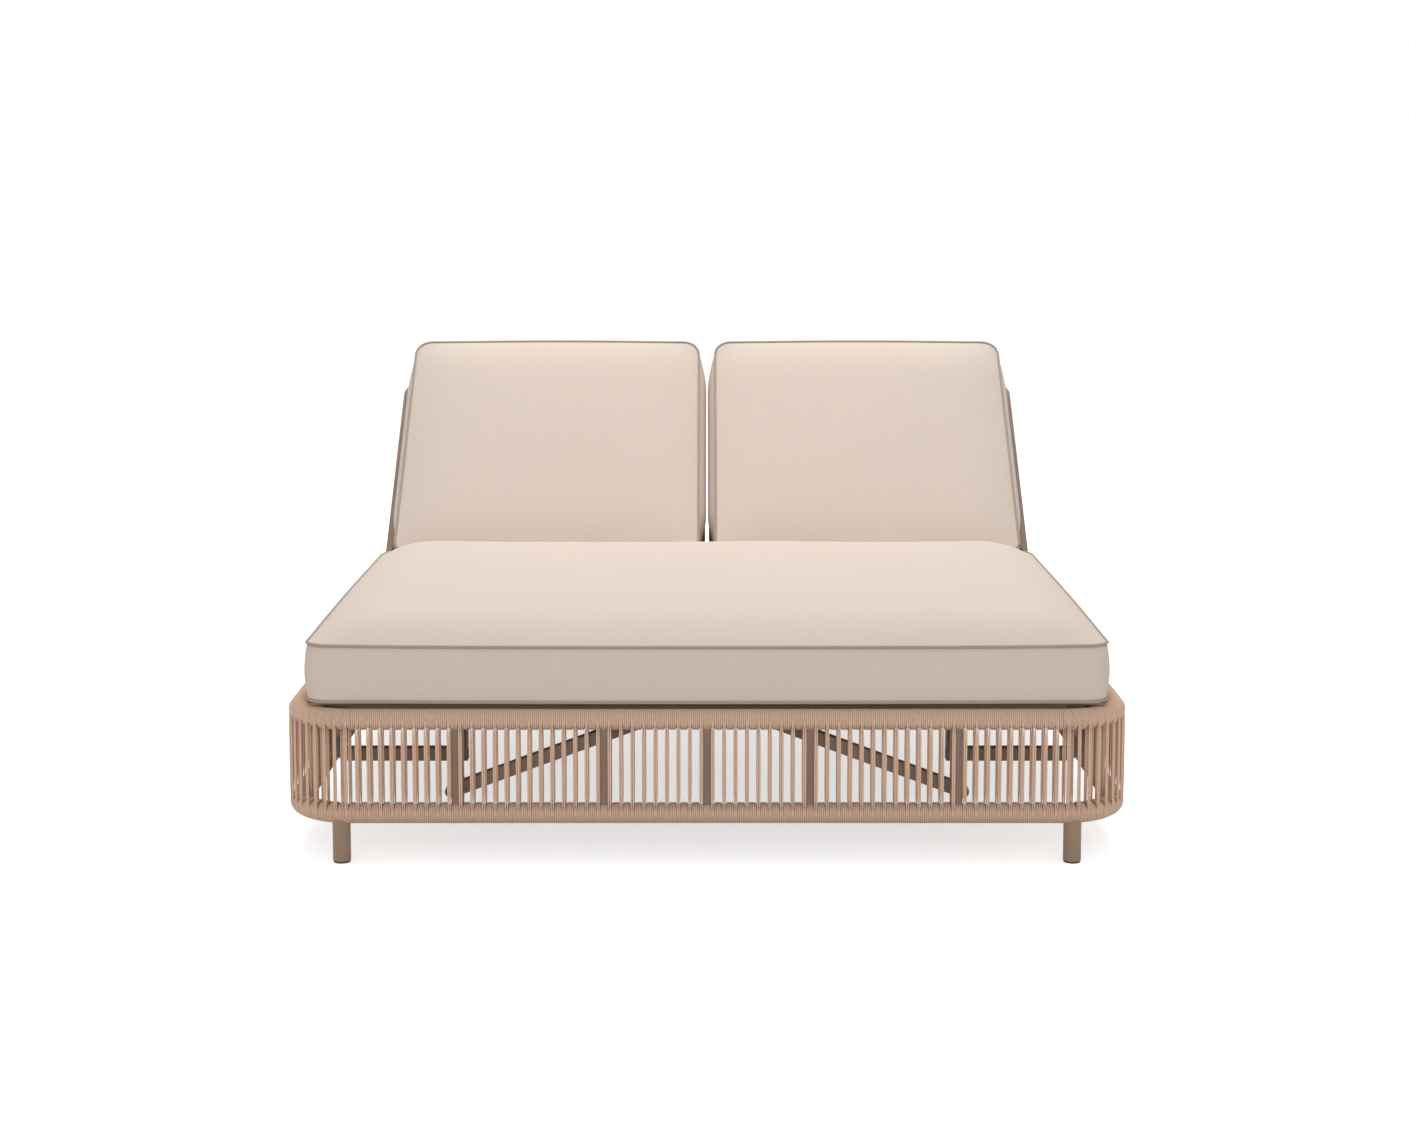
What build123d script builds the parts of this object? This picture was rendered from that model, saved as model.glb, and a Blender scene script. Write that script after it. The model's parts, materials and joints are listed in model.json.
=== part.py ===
from build123d import *
import os
from math import asin, atan2, cos, degrees, pi, radians, sin

# Double chaise lounger: a rope-wound ring base on four legs, one wide seat cushion on a slatted
# deck, and two reclining backs, each held up by a folding prop.
# Millimetres. +X is to the right seen from the foot end, +Y runs to the head end, +Z is up.
# The origin is on the ground under the middle of the base.

# Angles
right_angle = 90
recline_at_rest = 42
recline_most = 65
recline_stops = (0, 15, 30, recline_at_rest, 55, recline_most)

# Base ring, measured over the rope
base_width = 1660
base_length = 2000
ring_corner_radius = 142
lower_rail_height = 98
upper_rail_height = 283
rail_diameter = 34
rail_wall = 2

# Rope: its width along a rail, its height off the rail, and the step from one pair to the next
rope_width = 3.7
rope_height = 4
rope_pitch = 22.2
ropes_in_pair = 2

# Legs and glides
leg_diameter = 35
leg_wall = 2
leg_across = 712
leg_saddle_drop = 6
glide_height = 4
glide_diameter = 33
glide_plug_height = 18
glide_plug_clearance = 0.15

# Posts between the two rails, in the plane of the rope
post_size = 20
post_wall = 1.5
end_post_places = (0, 197, 483)
side_post_places = (0, 340, 680)

# Deck beams
beam_size = 25
beam_wall = 2
deck_beam_top = 305
ledger_inside = 745
ledger_width = 30
ledger_half_length = 895
front_beam_inset = 45
front_beam_half_width = 700
seat_beam_across = 380
stub_diameter = 14
stub_height = 292
end_stub_places = (150, 560)
side_stub_places = (300, 750)

# Deck slats under the seat cushion and their countersunk screws
deck_slat_thickness = 5
deck_slat_width = 76
deck_slat_count = 9
deck_slats_front = 955
deck_slats_rear = 230
screw_diameter = 5
screw_head_diameter = 9
screw_head_depth = 2
screw_length = 12

# Hangers and braces behind the front rope
hanger_outside = 758
hanger_inside = 473
hanger_bar_bottom = 180
hanger_bend_radius = 30
brace_foot_across = 500
brace_foot_height = 133
brace_rise_share = 0.374
brace_bolt_across = 488.4
brace_bolt_diameter = 8
brace_spacer_diameter = 12
bolt_head_diameter = 14
bolt_head_height = 4

# Seat cushion
seat_half_width = 780
seat_front = 970
seat_rear = 182
seat_seam_height = 424
cushion_corner_radius = 48
cushion_foot_inset = 4
cushion_side_bulge = 8
seat_crown = 35
crown_reach = 150

# Hinge line of the backs, and its ears, arms and pins
hinge_back = 262
hinge_height = 386
ear_eye_radius = 16
ear_thickness = 8
ear_depth = 23
ear_foot_thickness = 4
ear_foot_half_length = 26
arm_thickness = 5
arm_foot_length = 60
hinge_side_gap = 0.6
hinge_pin_diameter = 10
hinge_head_diameter = 20
hinge_head_thickness = 2.5
running_clearance = 0.05
side_clearance = 0.3

# Back frames, measured from the hinge line: along the back, and off its plane
back_tube = 25
back_tube_wall = 1.5
back_inside = 4.6
back_outside = 800
back_frame_foot = 30
back_frame_head = 655
back_tube_top_drop = 51.5
back_bend_radius = 30
back_slat_thickness = 4
back_slat_width = 60
back_slat_places = (95, 190, 325, 410, 495, 580)

# Back cushions
back_cushion_inside = 22
back_cushion_outside = 760
back_cushion_foot = -20
back_cushion_head = 690
back_seam_rise = 62
back_crown = 30

# Props: flat arms from lugs under the back to a foot rod that runs on the racks
prop_pivot_along = 260
prop_pivot_drop = 92
prop_length = 329
prop_angle_at_rest = 41.1
prop_turn_share = 0.97
prop_rearmost_angle = 9
prop_arm_width = 22
prop_arm_thickness = 6
prop_arm_inner_across = 46
prop_arm_outer_across = 728
lug_thickness = 5
prop_side_gap = 0.6
prop_pin_diameter = 8
prop_head_diameter = 14
prop_head_thickness = 3
foot_rod_diameter = 12
foot_sleeve_diameter = 16
foot_sleeve_length = 8.5
foot_end_gap = 1.5

# Racks on the deck beams, which the foot rod runs along
rack_thickness = 8
rack_running_gap = 0.5
rack_bottom = 236
rack_tab_top = 300
rack_tab_width = 16
rack_end_gap = 9.5
rack_notch_depth = 3
rack_crest_steps = 8
crest_angle_step = 1

# Rubber bumpers under the flat backs
bumper_length = 30
bumper_width = 24
bumper_gap = 0.3

# Parts of the cushions' shapes, as shares of their height, bulge, crown and reach
side_height_shares = (0, 1 / 4, 1 / 2, 3 / 4, 1)
side_bulge_shares = (0, 0.75, 1, 0.75, 0)
crown_inset_shares = (0, 0.2, 0.5, 1)
crown_rise_shares = (0, 0.42, 0.76, 1)
crown_corner_share = 0.35
foot_height_share = 0.04

# Worked out from the sizes above
rail_radius = rail_diameter / 2
wrap_radius = rail_radius + rope_height
ring_x = base_width / 2 - wrap_radius
ring_y = base_length / 2 - wrap_radius
corner_x = base_width / 2 - ring_corner_radius
corner_y = base_length / 2 - ring_corner_radius
bend_radius = ring_corner_radius - wrap_radius
strand_offset = rail_radius + rope_height / 2
strand_width = ropes_in_pair * rope_width
strand_length = upper_rail_height - lower_rail_height
leg_bore_radius = leg_diameter / 2 - leg_wall
leg_turn = asin((leg_across - corner_x) / bend_radius)
leg_along = corner_y + bend_radius * cos(leg_turn)
beam_bottom = deck_beam_top - beam_size
beam_middle = deck_beam_top - beam_size / 2
deck_top = deck_beam_top + deck_slat_thickness
end_beam_outside = base_length / 2 - front_beam_inset
end_beam_inside = end_beam_outside - beam_size
ledger_outside = ledger_inside + ledger_width
ledger_middle = ledger_inside + ledger_width / 2
tie_front = ledger_half_length - beam_size
brace_turn = degrees(atan2(brace_rise_share, 1))
back_tube_middle_drop = back_tube_top_drop + back_tube / 2
back_tube_bottom_drop = back_tube_top_drop + back_tube
back_tube_bore = back_tube - 2 * back_tube_wall
beam_bore = beam_size - 2 * beam_wall
post_bore = post_size - 2 * post_wall
arm_inner_side = ear_thickness / 2 + hinge_side_gap
arm_outer_side = ledger_outside + ear_thickness + hinge_side_gap


def turned(along, off, angle):
    """Place in the Y-Z plane, from the hinge line, of a point of a back raised to an angle."""
    tilt = radians(angle)
    return (along * cos(tilt) - off * sin(tilt), along * sin(tilt) + off * cos(tilt))


def prop_pivot(angle):
    """Y and Z of the prop's pivot with the back raised to an angle."""
    along, off = turned(prop_pivot_along, -prop_pivot_drop, angle)
    return (hinge_back + along, hinge_height + off)


def prop_foot(angle):
    """Y and Z of the foot rod's middle with the back raised to an angle."""
    pivot_y, pivot_z = prop_pivot(angle)
    fall = radians(prop_angle_at_rest + prop_turn_share * (angle - recline_at_rest))
    return (pivot_y + prop_length * cos(fall), pivot_z - prop_length * sin(fall))


def crest_point(angle, clear):
    """Point of the rack's edge under the foot rod, at a clear distance from its middle."""
    before_y, before_z = prop_foot(angle - crest_angle_step)
    after_y, after_z = prop_foot(angle + crest_angle_step)
    direction = atan2(before_z - after_z, before_y - after_y)
    foot_y, foot_z = prop_foot(angle)
    return (foot_y + clear * sin(direction), foot_z - clear * cos(direction))


def even_places(half_length, count):
    """Middles of a number of equal steps along a run centred on zero."""
    step = 2 * half_length / count
    return [-half_length + step * (index + 1 / 2) for index in range(count)]


def even_count(length, step):
    """Even number of steps that best fits a length."""
    return 2 * round(length / (2 * step))


def both(places):
    """The places and their mirror images, each once."""
    return sorted({side * place for place in places for side in (-1, 1)})


def write_piece(piece, name):
    """Label a finished piece and write its file."""
    piece.part.label = name
    export_step(piece.part, f"parts/{name}.step")


os.makedirs("parts", exist_ok=True)

end_strands = even_count(2 * corner_x, rope_pitch)
side_strands = even_count(2 * corner_y, rope_pitch)
corner_strands = round(pi / 2 * (bend_radius + strand_offset) / rope_pitch)

# Planes of a back at rest: flat to the back, and across it at a distance from the middle
back_tilt = radians(recline_at_rest)
along_back = Vector(0, cos(back_tilt), sin(back_tilt))
off_back = Vector(0, -sin(back_tilt), cos(back_tilt))


def back_plane(off):
    """Plane flat to the back: its x is X, its y runs up the back, at a height off the hinge line."""
    middle = Vector(0, hinge_back, hinge_height) + off_back * off
    return Plane(origin=middle, x_dir=(1, 0, 0), z_dir=off_back)


def across_back(side):
    """Plane across the back at a distance from the middle: x up the back, y off it."""
    return Plane(origin=(side, hinge_back, hinge_height), x_dir=along_back, z_dir=(1, 0, 0))


def section_up_back(across, along, off):
    """Plane of a section of a tube that runs up the back, from a point of the back."""
    start = Vector(across, hinge_back, hinge_height) + along_back * along + off_back * off
    return Plane(origin=start, x_dir=(1, 0, 0), z_dir=along_back)


def cushion_section(plane, size, middle, inset, corner):
    """Rounded outline of a cushion on a plane, drawn in from its seam by an inset."""
    width, length = size
    with BuildSketch(plane) as outline:
        with Locations(middle):
            RectangleRounded(width - 2 * inset, length - 2 * inset, corner)
    return outline.sketch


def cushion_solid(plane_at, size, middle, base, seam, crown, bulge):
    """Loft a cushion into the open part: its foot, its bulged sides and its crowned top."""
    foot = foot_height_share * (seam - base)
    side = seam - base - foot
    corner = cushion_corner_radius
    under = cushion_section(
        plane_at(base), size, middle, cushion_foot_inset, corner - cushion_foot_inset
    )
    loft([under, cushion_section(plane_at(base + foot), size, middle, 0, corner)], ruled=True)
    sides = []
    for height_share, bulge_share in zip(side_height_shares, side_bulge_shares):
        swell = bulge * bulge_share
        height = base + foot + side * height_share
        sides.append(cushion_section(plane_at(height), size, middle, -swell, corner + swell))
    loft(sides)
    rings = []
    for inset_share, rise_share in zip(crown_inset_shares, crown_rise_shares):
        inset = crown_reach * inset_share
        height = seam + crown * rise_share
        round_corner = corner + crown_corner_share * inset
        rings.append(cushion_section(plane_at(height), size, middle, inset, round_corner))
    loft(rings)


def headed_pin(start, end, shank_radius, head_radius, head_thickness, place):
    """Add a pin along X with a head beyond each end of its grip to the open part."""
    runs = (
        (start, end - start, shank_radius),
        (start - head_thickness, head_thickness, head_radius),
        (end, head_thickness, head_radius),
    )
    for left, length, radius in runs:
        with BuildSketch(Plane.YZ.offset(left)) as round_face:
            with Locations(place):
                Circle(radius)
        extrude(round_face.sketch, amount=length)


# Straight rails of the ring, hidden inside the rope
for level, height in (("upper", upper_rail_height), ("lower", lower_rail_height)):
    with BuildPart() as rail_front:
        with BuildSketch(Plane.YZ.offset(-corner_x)):
            with Locations((-ring_y, height)):
                Circle(rail_radius)
                Circle(rail_radius - rail_wall, mode=Mode.SUBTRACT)
        extrude(amount=2 * corner_x)
    write_piece(rail_front, f"{level}_rail_front")
    with BuildPart() as rail_rear:
        mirror(rail_front.part, about=Plane.XZ)
    write_piece(rail_rear, f"{level}_rail_rear")
    with BuildPart() as rail_right:
        with BuildSketch(Plane.XZ.offset(-corner_y)):
            with Locations((ring_x, height)):
                Circle(rail_radius)
                Circle(rail_radius - rail_wall, mode=Mode.SUBTRACT)
        extrude(amount=2 * corner_y)
    write_piece(rail_right, f"{level}_rail_right")
    with BuildPart() as rail_left:
        mirror(rail_right.part, about=Plane.YZ)
    write_piece(rail_left, f"{level}_rail_left")

# Bent corners of both rails
corner_axis = Axis((corner_x, -corner_y, 0), (0, 0, 1))
with BuildPart() as rail_corner_bends:
    with BuildSketch(Plane.YZ.offset(corner_x)):
        with Locations((-ring_y, lower_rail_height), (-ring_y, upper_rail_height)):
            Circle(rail_radius)
            Circle(rail_radius - rail_wall, mode=Mode.SUBTRACT)
    revolve(axis=corner_axis, revolution_arc=right_angle)
    mirror(about=Plane.YZ)
    mirror(about=Plane.XZ)
write_piece(rail_corner_bends, "rail_corner_bends")

# Full round shapes of the rails, used only to cut what meets them
with BuildPart() as lower_bend_core:
    with BuildSketch(Plane.YZ.offset(corner_x)):
        with Locations((-ring_y, lower_rail_height)):
            Circle(rail_radius)
    revolve(axis=corner_axis, revolution_arc=right_angle)

with BuildPart() as front_rail_cores:
    with BuildSketch(Plane.YZ.offset(-corner_x)):
        with Locations((-ring_y, lower_rail_height), (-ring_y, upper_rail_height)):
            Circle(rail_radius)
    extrude(amount=2 * corner_x)

with BuildPart() as side_rail_cores:
    with BuildSketch(Plane.XZ.offset(-corner_y)):
        with Locations((ring_x, lower_rail_height), (ring_x, upper_rail_height)):
            Circle(rail_radius)
    extrude(amount=2 * corner_y)

# Rope of the front and rear: a wrap round each rail, and pairs between the rails, outside and in
with BuildPart() as rope_front:
    with BuildSketch(Plane.YZ.offset(-corner_x)):
        with Locations((-ring_y, lower_rail_height), (-ring_y, upper_rail_height)):
            Circle(wrap_radius)
            Circle(rail_radius, mode=Mode.SUBTRACT)
    extrude(amount=2 * corner_x)
    with BuildSketch(Plane.XY.offset(lower_rail_height)):
        strand_places = [
            (across, -ring_y + side * strand_offset)
            for across in even_places(corner_x, end_strands)
            for side in (-1, 1)
        ]
        with Locations(*strand_places):
            SlotOverall(strand_width, rope_width)
    extrude(amount=strand_length)
    with BuildSketch(Plane.XY.offset(lower_rail_height)):
        with Locations(*[(across, -ring_y) for across in both(end_post_places)]):
            Rectangle(post_size, post_size)
    extrude(amount=strand_length, mode=Mode.SUBTRACT)
    with BuildSketch(Plane.XZ.offset(end_beam_outside)):
        with Locations(*[(across, stub_height) for across in both(end_stub_places)]):
            Circle(stub_diameter / 2)
    extrude(amount=ring_y - end_beam_outside, mode=Mode.SUBTRACT)
write_piece(rope_front, "rope_panel_front")
with BuildPart() as rope_rear:
    mirror(rope_front.part, about=Plane.XZ)
write_piece(rope_rear, "rope_panel_rear")

# Rope of the two sides
with BuildPart() as rope_right:
    with BuildSketch(Plane.XZ.offset(-corner_y)):
        with Locations((ring_x, lower_rail_height), (ring_x, upper_rail_height)):
            Circle(wrap_radius)
            Circle(rail_radius, mode=Mode.SUBTRACT)
    extrude(amount=2 * corner_y)
    with BuildSketch(Plane.XY.offset(lower_rail_height)):
        strand_places = [
            (ring_x + side * strand_offset, along)
            for along in even_places(corner_y, side_strands)
            for side in (-1, 1)
        ]
        with Locations(*strand_places):
            SlotOverall(strand_width, rope_width, rotation=right_angle)
    extrude(amount=strand_length)
    with BuildSketch(Plane.XY.offset(lower_rail_height)):
        with Locations(*[(ring_x, along) for along in both(side_post_places)]):
            Rectangle(post_size, post_size)
    extrude(amount=strand_length, mode=Mode.SUBTRACT)
    with BuildSketch(Plane.YZ.offset(ledger_outside)):
        with Locations(*[(along, stub_height) for along in both(side_stub_places)]):
            Circle(stub_diameter / 2)
    extrude(amount=ring_x - ledger_outside, mode=Mode.SUBTRACT)
write_piece(rope_right, "rope_panel_right")
with BuildPart() as rope_left:
    mirror(rope_right.part, about=Plane.YZ)
write_piece(rope_left, "rope_panel_left")

# Rope round the four corners, open round the legs
with BuildPart() as rope_corner:
    with BuildSketch(Plane.YZ.offset(corner_x)):
        with Locations((-ring_y, lower_rail_height), (-ring_y, upper_rail_height)):
            Circle(wrap_radius)
            Circle(rail_radius, mode=Mode.SUBTRACT)
    revolve(axis=corner_axis, revolution_arc=right_angle)
    with BuildSketch(Plane.XY.offset(lower_rail_height)):
        strand_places = [
            (corner_x + radius * cos(turn), -corner_y + radius * sin(turn), degrees(turn))
            for radius in (bend_radius - strand_offset, bend_radius + strand_offset)
            for turn in [place - pi / 4 for place in even_places(pi / 4, corner_strands)]
        ]
        with Locations(*[Location((x, y), turn + right_angle) for x, y, turn in strand_places]):
            SlotOverall(strand_width, rope_width)
    extrude(amount=strand_length)
    with BuildSketch(Plane.XY):
        with Locations((leg_across, -leg_along)):
            Circle(leg_diameter / 2)
    extrude(amount=lower_rail_height - leg_saddle_drop, mode=Mode.SUBTRACT)
write_piece(rope_corner, "rope_corner_front_right")
with BuildPart() as rope_corner_left:
    mirror(rope_corner.part, about=Plane.YZ)
write_piece(rope_corner_left, "rope_corner_front_left")
with BuildPart() as rope_corner_rear_right:
    mirror(rope_corner.part, about=Plane.XZ)
write_piece(rope_corner_rear_right, "rope_corner_rear_right")
with BuildPart() as rope_corner_rear_left:
    mirror(rope_corner_left.part, about=Plane.XZ)
write_piece(rope_corner_rear_left, "rope_corner_rear_left")

# Legs: tubes saddled to the bent corners of the lower rail
with BuildPart() as leg:
    with BuildSketch(Plane.XY.offset(glide_height)):
        with Locations((leg_across, -leg_along)):
            Circle(leg_diameter / 2)
            Circle(leg_bore_radius, mode=Mode.SUBTRACT)
    extrude(amount=lower_rail_height - leg_saddle_drop - glide_height)
    add(lower_bend_core.part, mode=Mode.SUBTRACT)
write_piece(leg, "leg_front_right")
with BuildPart() as leg_front_left:
    mirror(leg.part, about=Plane.YZ)
write_piece(leg_front_left, "leg_front_left")
with BuildPart() as leg_rear_right:
    mirror(leg.part, about=Plane.XZ)
write_piece(leg_rear_right, "leg_rear_right")
with BuildPart() as leg_rear_left:
    mirror(leg_front_left.part, about=Plane.XZ)
write_piece(leg_rear_left, "leg_rear_left")

# Glides plugged into the legs
with BuildPart() as glides:
    with BuildSketch(Plane.XY):
        with Locations((leg_across, -leg_along)):
            Circle(glide_diameter / 2)
    extrude(amount=glide_height)
    with BuildSketch(Plane.XY.offset(glide_height)):
        with Locations((leg_across, -leg_along)):
            Circle(leg_bore_radius - glide_plug_clearance)
    extrude(amount=glide_plug_height)
    mirror(about=Plane.YZ)
    mirror(about=Plane.XZ)
write_piece(glides, "leg_glides")

# Posts between the rails
with BuildPart() as frame_posts:
    with BuildSketch(Plane.XY.offset(lower_rail_height)):
        with Locations(*[(across, -ring_y) for across in both(end_post_places)]):
            Rectangle(post_size, post_size)
            Rectangle(post_bore, post_bore, mode=Mode.SUBTRACT)
    extrude(amount=strand_length)
    add(front_rail_cores.part, mode=Mode.SUBTRACT)
    mirror(about=Plane.XZ)
with BuildPart() as side_posts:
    with BuildSketch(Plane.XY.offset(lower_rail_height)):
        with Locations(*[(ring_x, along) for along in both(side_post_places)]):
            Rectangle(post_size, post_size)
            Rectangle(post_bore, post_bore, mode=Mode.SUBTRACT)
    extrude(amount=strand_length)
    add(side_rail_cores.part, mode=Mode.SUBTRACT)
    mirror(about=Plane.YZ)
    add(frame_posts.part)
write_piece(side_posts, "frame_posts")

# Deck beams along the lounger: two side ledgers, a centre beam and two seat beams
slat_length = deck_slats_front + deck_slats_rear
slat_step = (slat_length - deck_slat_width) / (deck_slat_count - 1)
slat_places = [
    -deck_slats_front + deck_slat_width / 2 + slat_step * index for index in range(deck_slat_count)
]
hinge_beam_front = hinge_back - beam_size / 2


ledger_screws = [(ledger_middle, along) for along in slat_places if along > -tie_front]
beam_screws = [
    (across, along) for across in both((0, seat_beam_across)) for along in slat_places
]
slat_screws = beam_screws + ledger_screws + [(-across, along) for across, along in ledger_screws]

with BuildPart() as side_ledgers:
    with BuildSketch(Plane.XZ.offset(-ledger_half_length)):
        with Locations((ledger_middle, beam_middle)):
            Rectangle(ledger_width, beam_size)
            Rectangle(ledger_width - 2 * beam_wall, beam_bore, mode=Mode.SUBTRACT)
    extrude(amount=2 * ledger_half_length)
    with BuildSketch(Plane.XY.offset(deck_beam_top - beam_wall)):
        with Locations(*ledger_screws):
            Circle(screw_diameter / 2)
    extrude(amount=2 * beam_wall, mode=Mode.SUBTRACT)
    mirror(about=Plane.YZ)
write_piece(side_ledgers, "deck_side_ledgers")

with BuildPart() as long_beams:
    with BuildSketch(Plane.XZ.offset(-end_beam_inside)):
        with Locations((0, beam_middle)):
            Rectangle(beam_size, beam_size)
            Rectangle(beam_bore, beam_bore, mode=Mode.SUBTRACT)
    extrude(amount=2 * end_beam_inside)
    with BuildSketch(Plane.XZ.offset(-hinge_beam_front)):
        with Locations((-seat_beam_across, beam_middle), (seat_beam_across, beam_middle)):
            Rectangle(beam_size, beam_size)
            Rectangle(beam_bore, beam_bore, mode=Mode.SUBTRACT)
    extrude(amount=hinge_beam_front + end_beam_inside)
    with BuildSketch(Plane.XY.offset(deck_beam_top - beam_wall)):
        with Locations(*beam_screws):
            Circle(screw_diameter / 2)
    extrude(amount=2 * beam_wall, mode=Mode.SUBTRACT)
write_piece(long_beams, "deck_long_beams")

# Deck beams across the lounger
cross_beam_runs = (
    (-front_beam_half_width, front_beam_half_width, -end_beam_outside),
    (-front_beam_half_width, front_beam_half_width, end_beam_inside),
    (-ledger_inside, -beam_size / 2, hinge_beam_front),
    (beam_size / 2, ledger_inside, hinge_beam_front),
    (-ledger_inside, -seat_beam_across - beam_size / 2, -ledger_half_length),
    (seat_beam_across + beam_size / 2, ledger_inside, -ledger_half_length),
    (-ledger_inside, -beam_size / 2, tie_front),
    (beam_size / 2, ledger_inside, tie_front),
)
with BuildPart() as cross_beams:
    for left, right, front in cross_beam_runs:
        with BuildSketch(Plane.YZ.offset(left)):
            with Locations((front + beam_size / 2, beam_middle)):
                Rectangle(beam_size, beam_size)
                Rectangle(beam_bore, beam_bore, mode=Mode.SUBTRACT)
        extrude(amount=right - left)
write_piece(cross_beams, "deck_cross_beams")

# Short stubs that carry the deck on the upper rail, through the rope
with BuildPart() as deck_stubs:
    with BuildSketch(Plane.XZ.offset(end_beam_outside)):
        with Locations(*[(across, stub_height) for across in both(end_stub_places)]):
            Circle(stub_diameter / 2)
    extrude(amount=ring_y - end_beam_outside)
    add(front_rail_cores.part, mode=Mode.SUBTRACT)
    mirror(about=Plane.XZ)
with BuildPart() as all_stubs:
    with BuildSketch(Plane.YZ.offset(ledger_outside)):
        with Locations(*[(along, stub_height) for along in both(side_stub_places)]):
            Circle(stub_diameter / 2)
    extrude(amount=ring_x - ledger_outside)
    add(side_rail_cores.part, mode=Mode.SUBTRACT)
    mirror(about=Plane.YZ)
    add(deck_stubs.part)
write_piece(all_stubs, "deck_stubs")

# Slats under the seat cushion, and the countersunk screws that hold them
with BuildPart() as deck_slats:
    with BuildSketch(Plane.XY.offset(deck_beam_top)):
        with Locations(*[(0, along) for along in slat_places]):
            Rectangle(2 * ledger_outside, deck_slat_width)
    extrude(amount=deck_slat_thickness)
    with BuildSketch(Plane.XY.offset(deck_beam_top)):
        with Locations(*slat_screws):
            Circle(screw_diameter / 2)
    extrude(amount=deck_slat_thickness, mode=Mode.SUBTRACT)
    with Locations(*[(x, y, deck_top - screw_head_depth) for x, y in slat_screws]):
        Cone(
            screw_diameter / 2,
            screw_head_diameter / 2,
            screw_head_depth,
            align=(Align.CENTER, Align.CENTER, Align.MIN),
            mode=Mode.SUBTRACT,
        )
write_piece(deck_slats, "deck_slats")

with BuildPart() as slat_screw_set:
    with BuildSketch(Plane.XY.offset(deck_top - screw_length)):
        with Locations(*slat_screws):
            Circle(screw_diameter / 2)
    extrude(amount=screw_length - screw_head_depth)
    with Locations(*[(x, y, deck_top - screw_head_depth) for x, y in slat_screws]):
        Cone(
            screw_diameter / 2,
            screw_head_diameter / 2,
            screw_head_depth,
            align=(Align.CENTER, Align.CENTER, Align.MIN),
        )
write_piece(slat_screw_set, "deck_slat_screws")

# Hangers under the deck behind the front rope: a bent bar, and an upright that closes it
hanger_middle = tie_front + beam_size / 2
hanger_turn = hanger_bend_radius + beam_size / 2
hanger_bar_middle = hanger_bar_bottom + beam_size / 2
hanger_leg = hanger_outside - beam_size / 2
with BuildPart() as hanger_bars:
    with BuildLine(Plane.XZ.offset(hanger_middle)):
        Line(
            (hanger_inside, hanger_bar_middle), (hanger_leg - hanger_turn, hanger_bar_middle)
        )
        bend_run = CenterArc(
            (hanger_leg - hanger_turn, hanger_bar_middle + hanger_turn),
            hanger_turn,
            -right_angle,
            right_angle,
        )
        Line(bend_run @ 1, (hanger_leg, beam_bottom))
    with BuildSketch(Plane.YZ.offset(hanger_inside)):
        with Locations((-hanger_middle, hanger_bar_middle)):
            Rectangle(beam_size, beam_size)
            Rectangle(beam_bore, beam_bore, mode=Mode.SUBTRACT)
    sweep()
    mirror(about=Plane.YZ)
write_piece(hanger_bars, "hanger_bars")

with BuildPart() as hanger_uprights:
    with BuildSketch(Plane.XY.offset(hanger_bar_bottom + beam_size)):
        with Locations((hanger_inside + beam_size / 2, -hanger_middle)):
            Rectangle(beam_size, beam_size)
            Rectangle(beam_bore, beam_bore, mode=Mode.SUBTRACT)
    extrude(amount=beam_bottom - hanger_bar_bottom - beam_size)
    mirror(about=Plane.YZ)
write_piece(hanger_uprights, "hanger_uprights")

# Braces from the foot of the outer posts up to the front beam, and their bolts
brace_reach = (beam_bottom - brace_foot_height) / brace_rise_share + beam_size
brace_middle = (
    -brace_foot_across + brace_reach / 2,
    brace_foot_height + brace_rise_share * brace_reach / 2,
)
brace_length = brace_reach / cos(radians(brace_turn))
brace_bolt_height = brace_foot_height + brace_rise_share * (brace_foot_across - brace_bolt_across)
with BuildPart() as braces:
    with BuildSketch(Plane.XZ.offset(end_beam_inside)):
        with Locations(brace_middle):
            Rectangle(brace_length, beam_size, rotation=brace_turn)
        with Locations((-brace_foot_across, brace_foot_height)):
            Circle(beam_size / 2)
    extrude(amount=beam_size)
    with BuildSketch(Plane.XZ.offset(end_beam_inside + beam_wall)):
        with Locations(brace_middle):
            Rectangle(brace_length, beam_size - 2 * beam_wall, rotation=brace_turn)
    extrude(amount=beam_size - 2 * beam_wall, mode=Mode.SUBTRACT)
    with BuildSketch(Plane.XZ.offset(end_beam_inside)):
        with Locations((-brace_bolt_across, brace_bolt_height)):
            Circle(brace_bolt_diameter / 2)
    extrude(amount=beam_size, mode=Mode.SUBTRACT)
    split(bisect_by=Plane.XY.offset(beam_bottom), keep=Keep.BOTTOM)
    mirror(about=Plane.YZ)
write_piece(braces, "front_braces")

post_inner_face = ring_y - post_size / 2
with BuildPart() as brace_bolts:
    with BuildSketch(Plane.XZ.offset(end_beam_outside)):
        with Locations((-brace_bolt_across, brace_bolt_height)):
            Circle(brace_spacer_diameter / 2)
    extrude(amount=post_inner_face - end_beam_outside)
    with BuildSketch(Plane.XZ.offset(end_beam_inside)):
        with Locations((-brace_bolt_across, brace_bolt_height)):
            Circle(brace_bolt_diameter / 2)
    extrude(amount=beam_size)
    with BuildSketch(Plane.XZ.offset(end_beam_inside - bolt_head_height)):
        with Locations((-brace_bolt_across, brace_bolt_height)):
            Circle(bolt_head_diameter / 2)
    extrude(amount=bolt_head_height)
    mirror(about=Plane.YZ)
write_piece(brace_bolts, "brace_bolts")

# Seat cushion, flat on the slats
with BuildPart() as seat_cushion:
    cushion_solid(
        lambda height: Plane.XY.offset(height),
        (2 * seat_half_width, seat_front + seat_rear),
        (0, (seat_rear - seat_front) / 2),
        deck_top,
        seat_seam_height,
        seat_crown,
        cushion_side_bulge,
    )
write_piece(seat_cushion, "seat_cushion")

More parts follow.
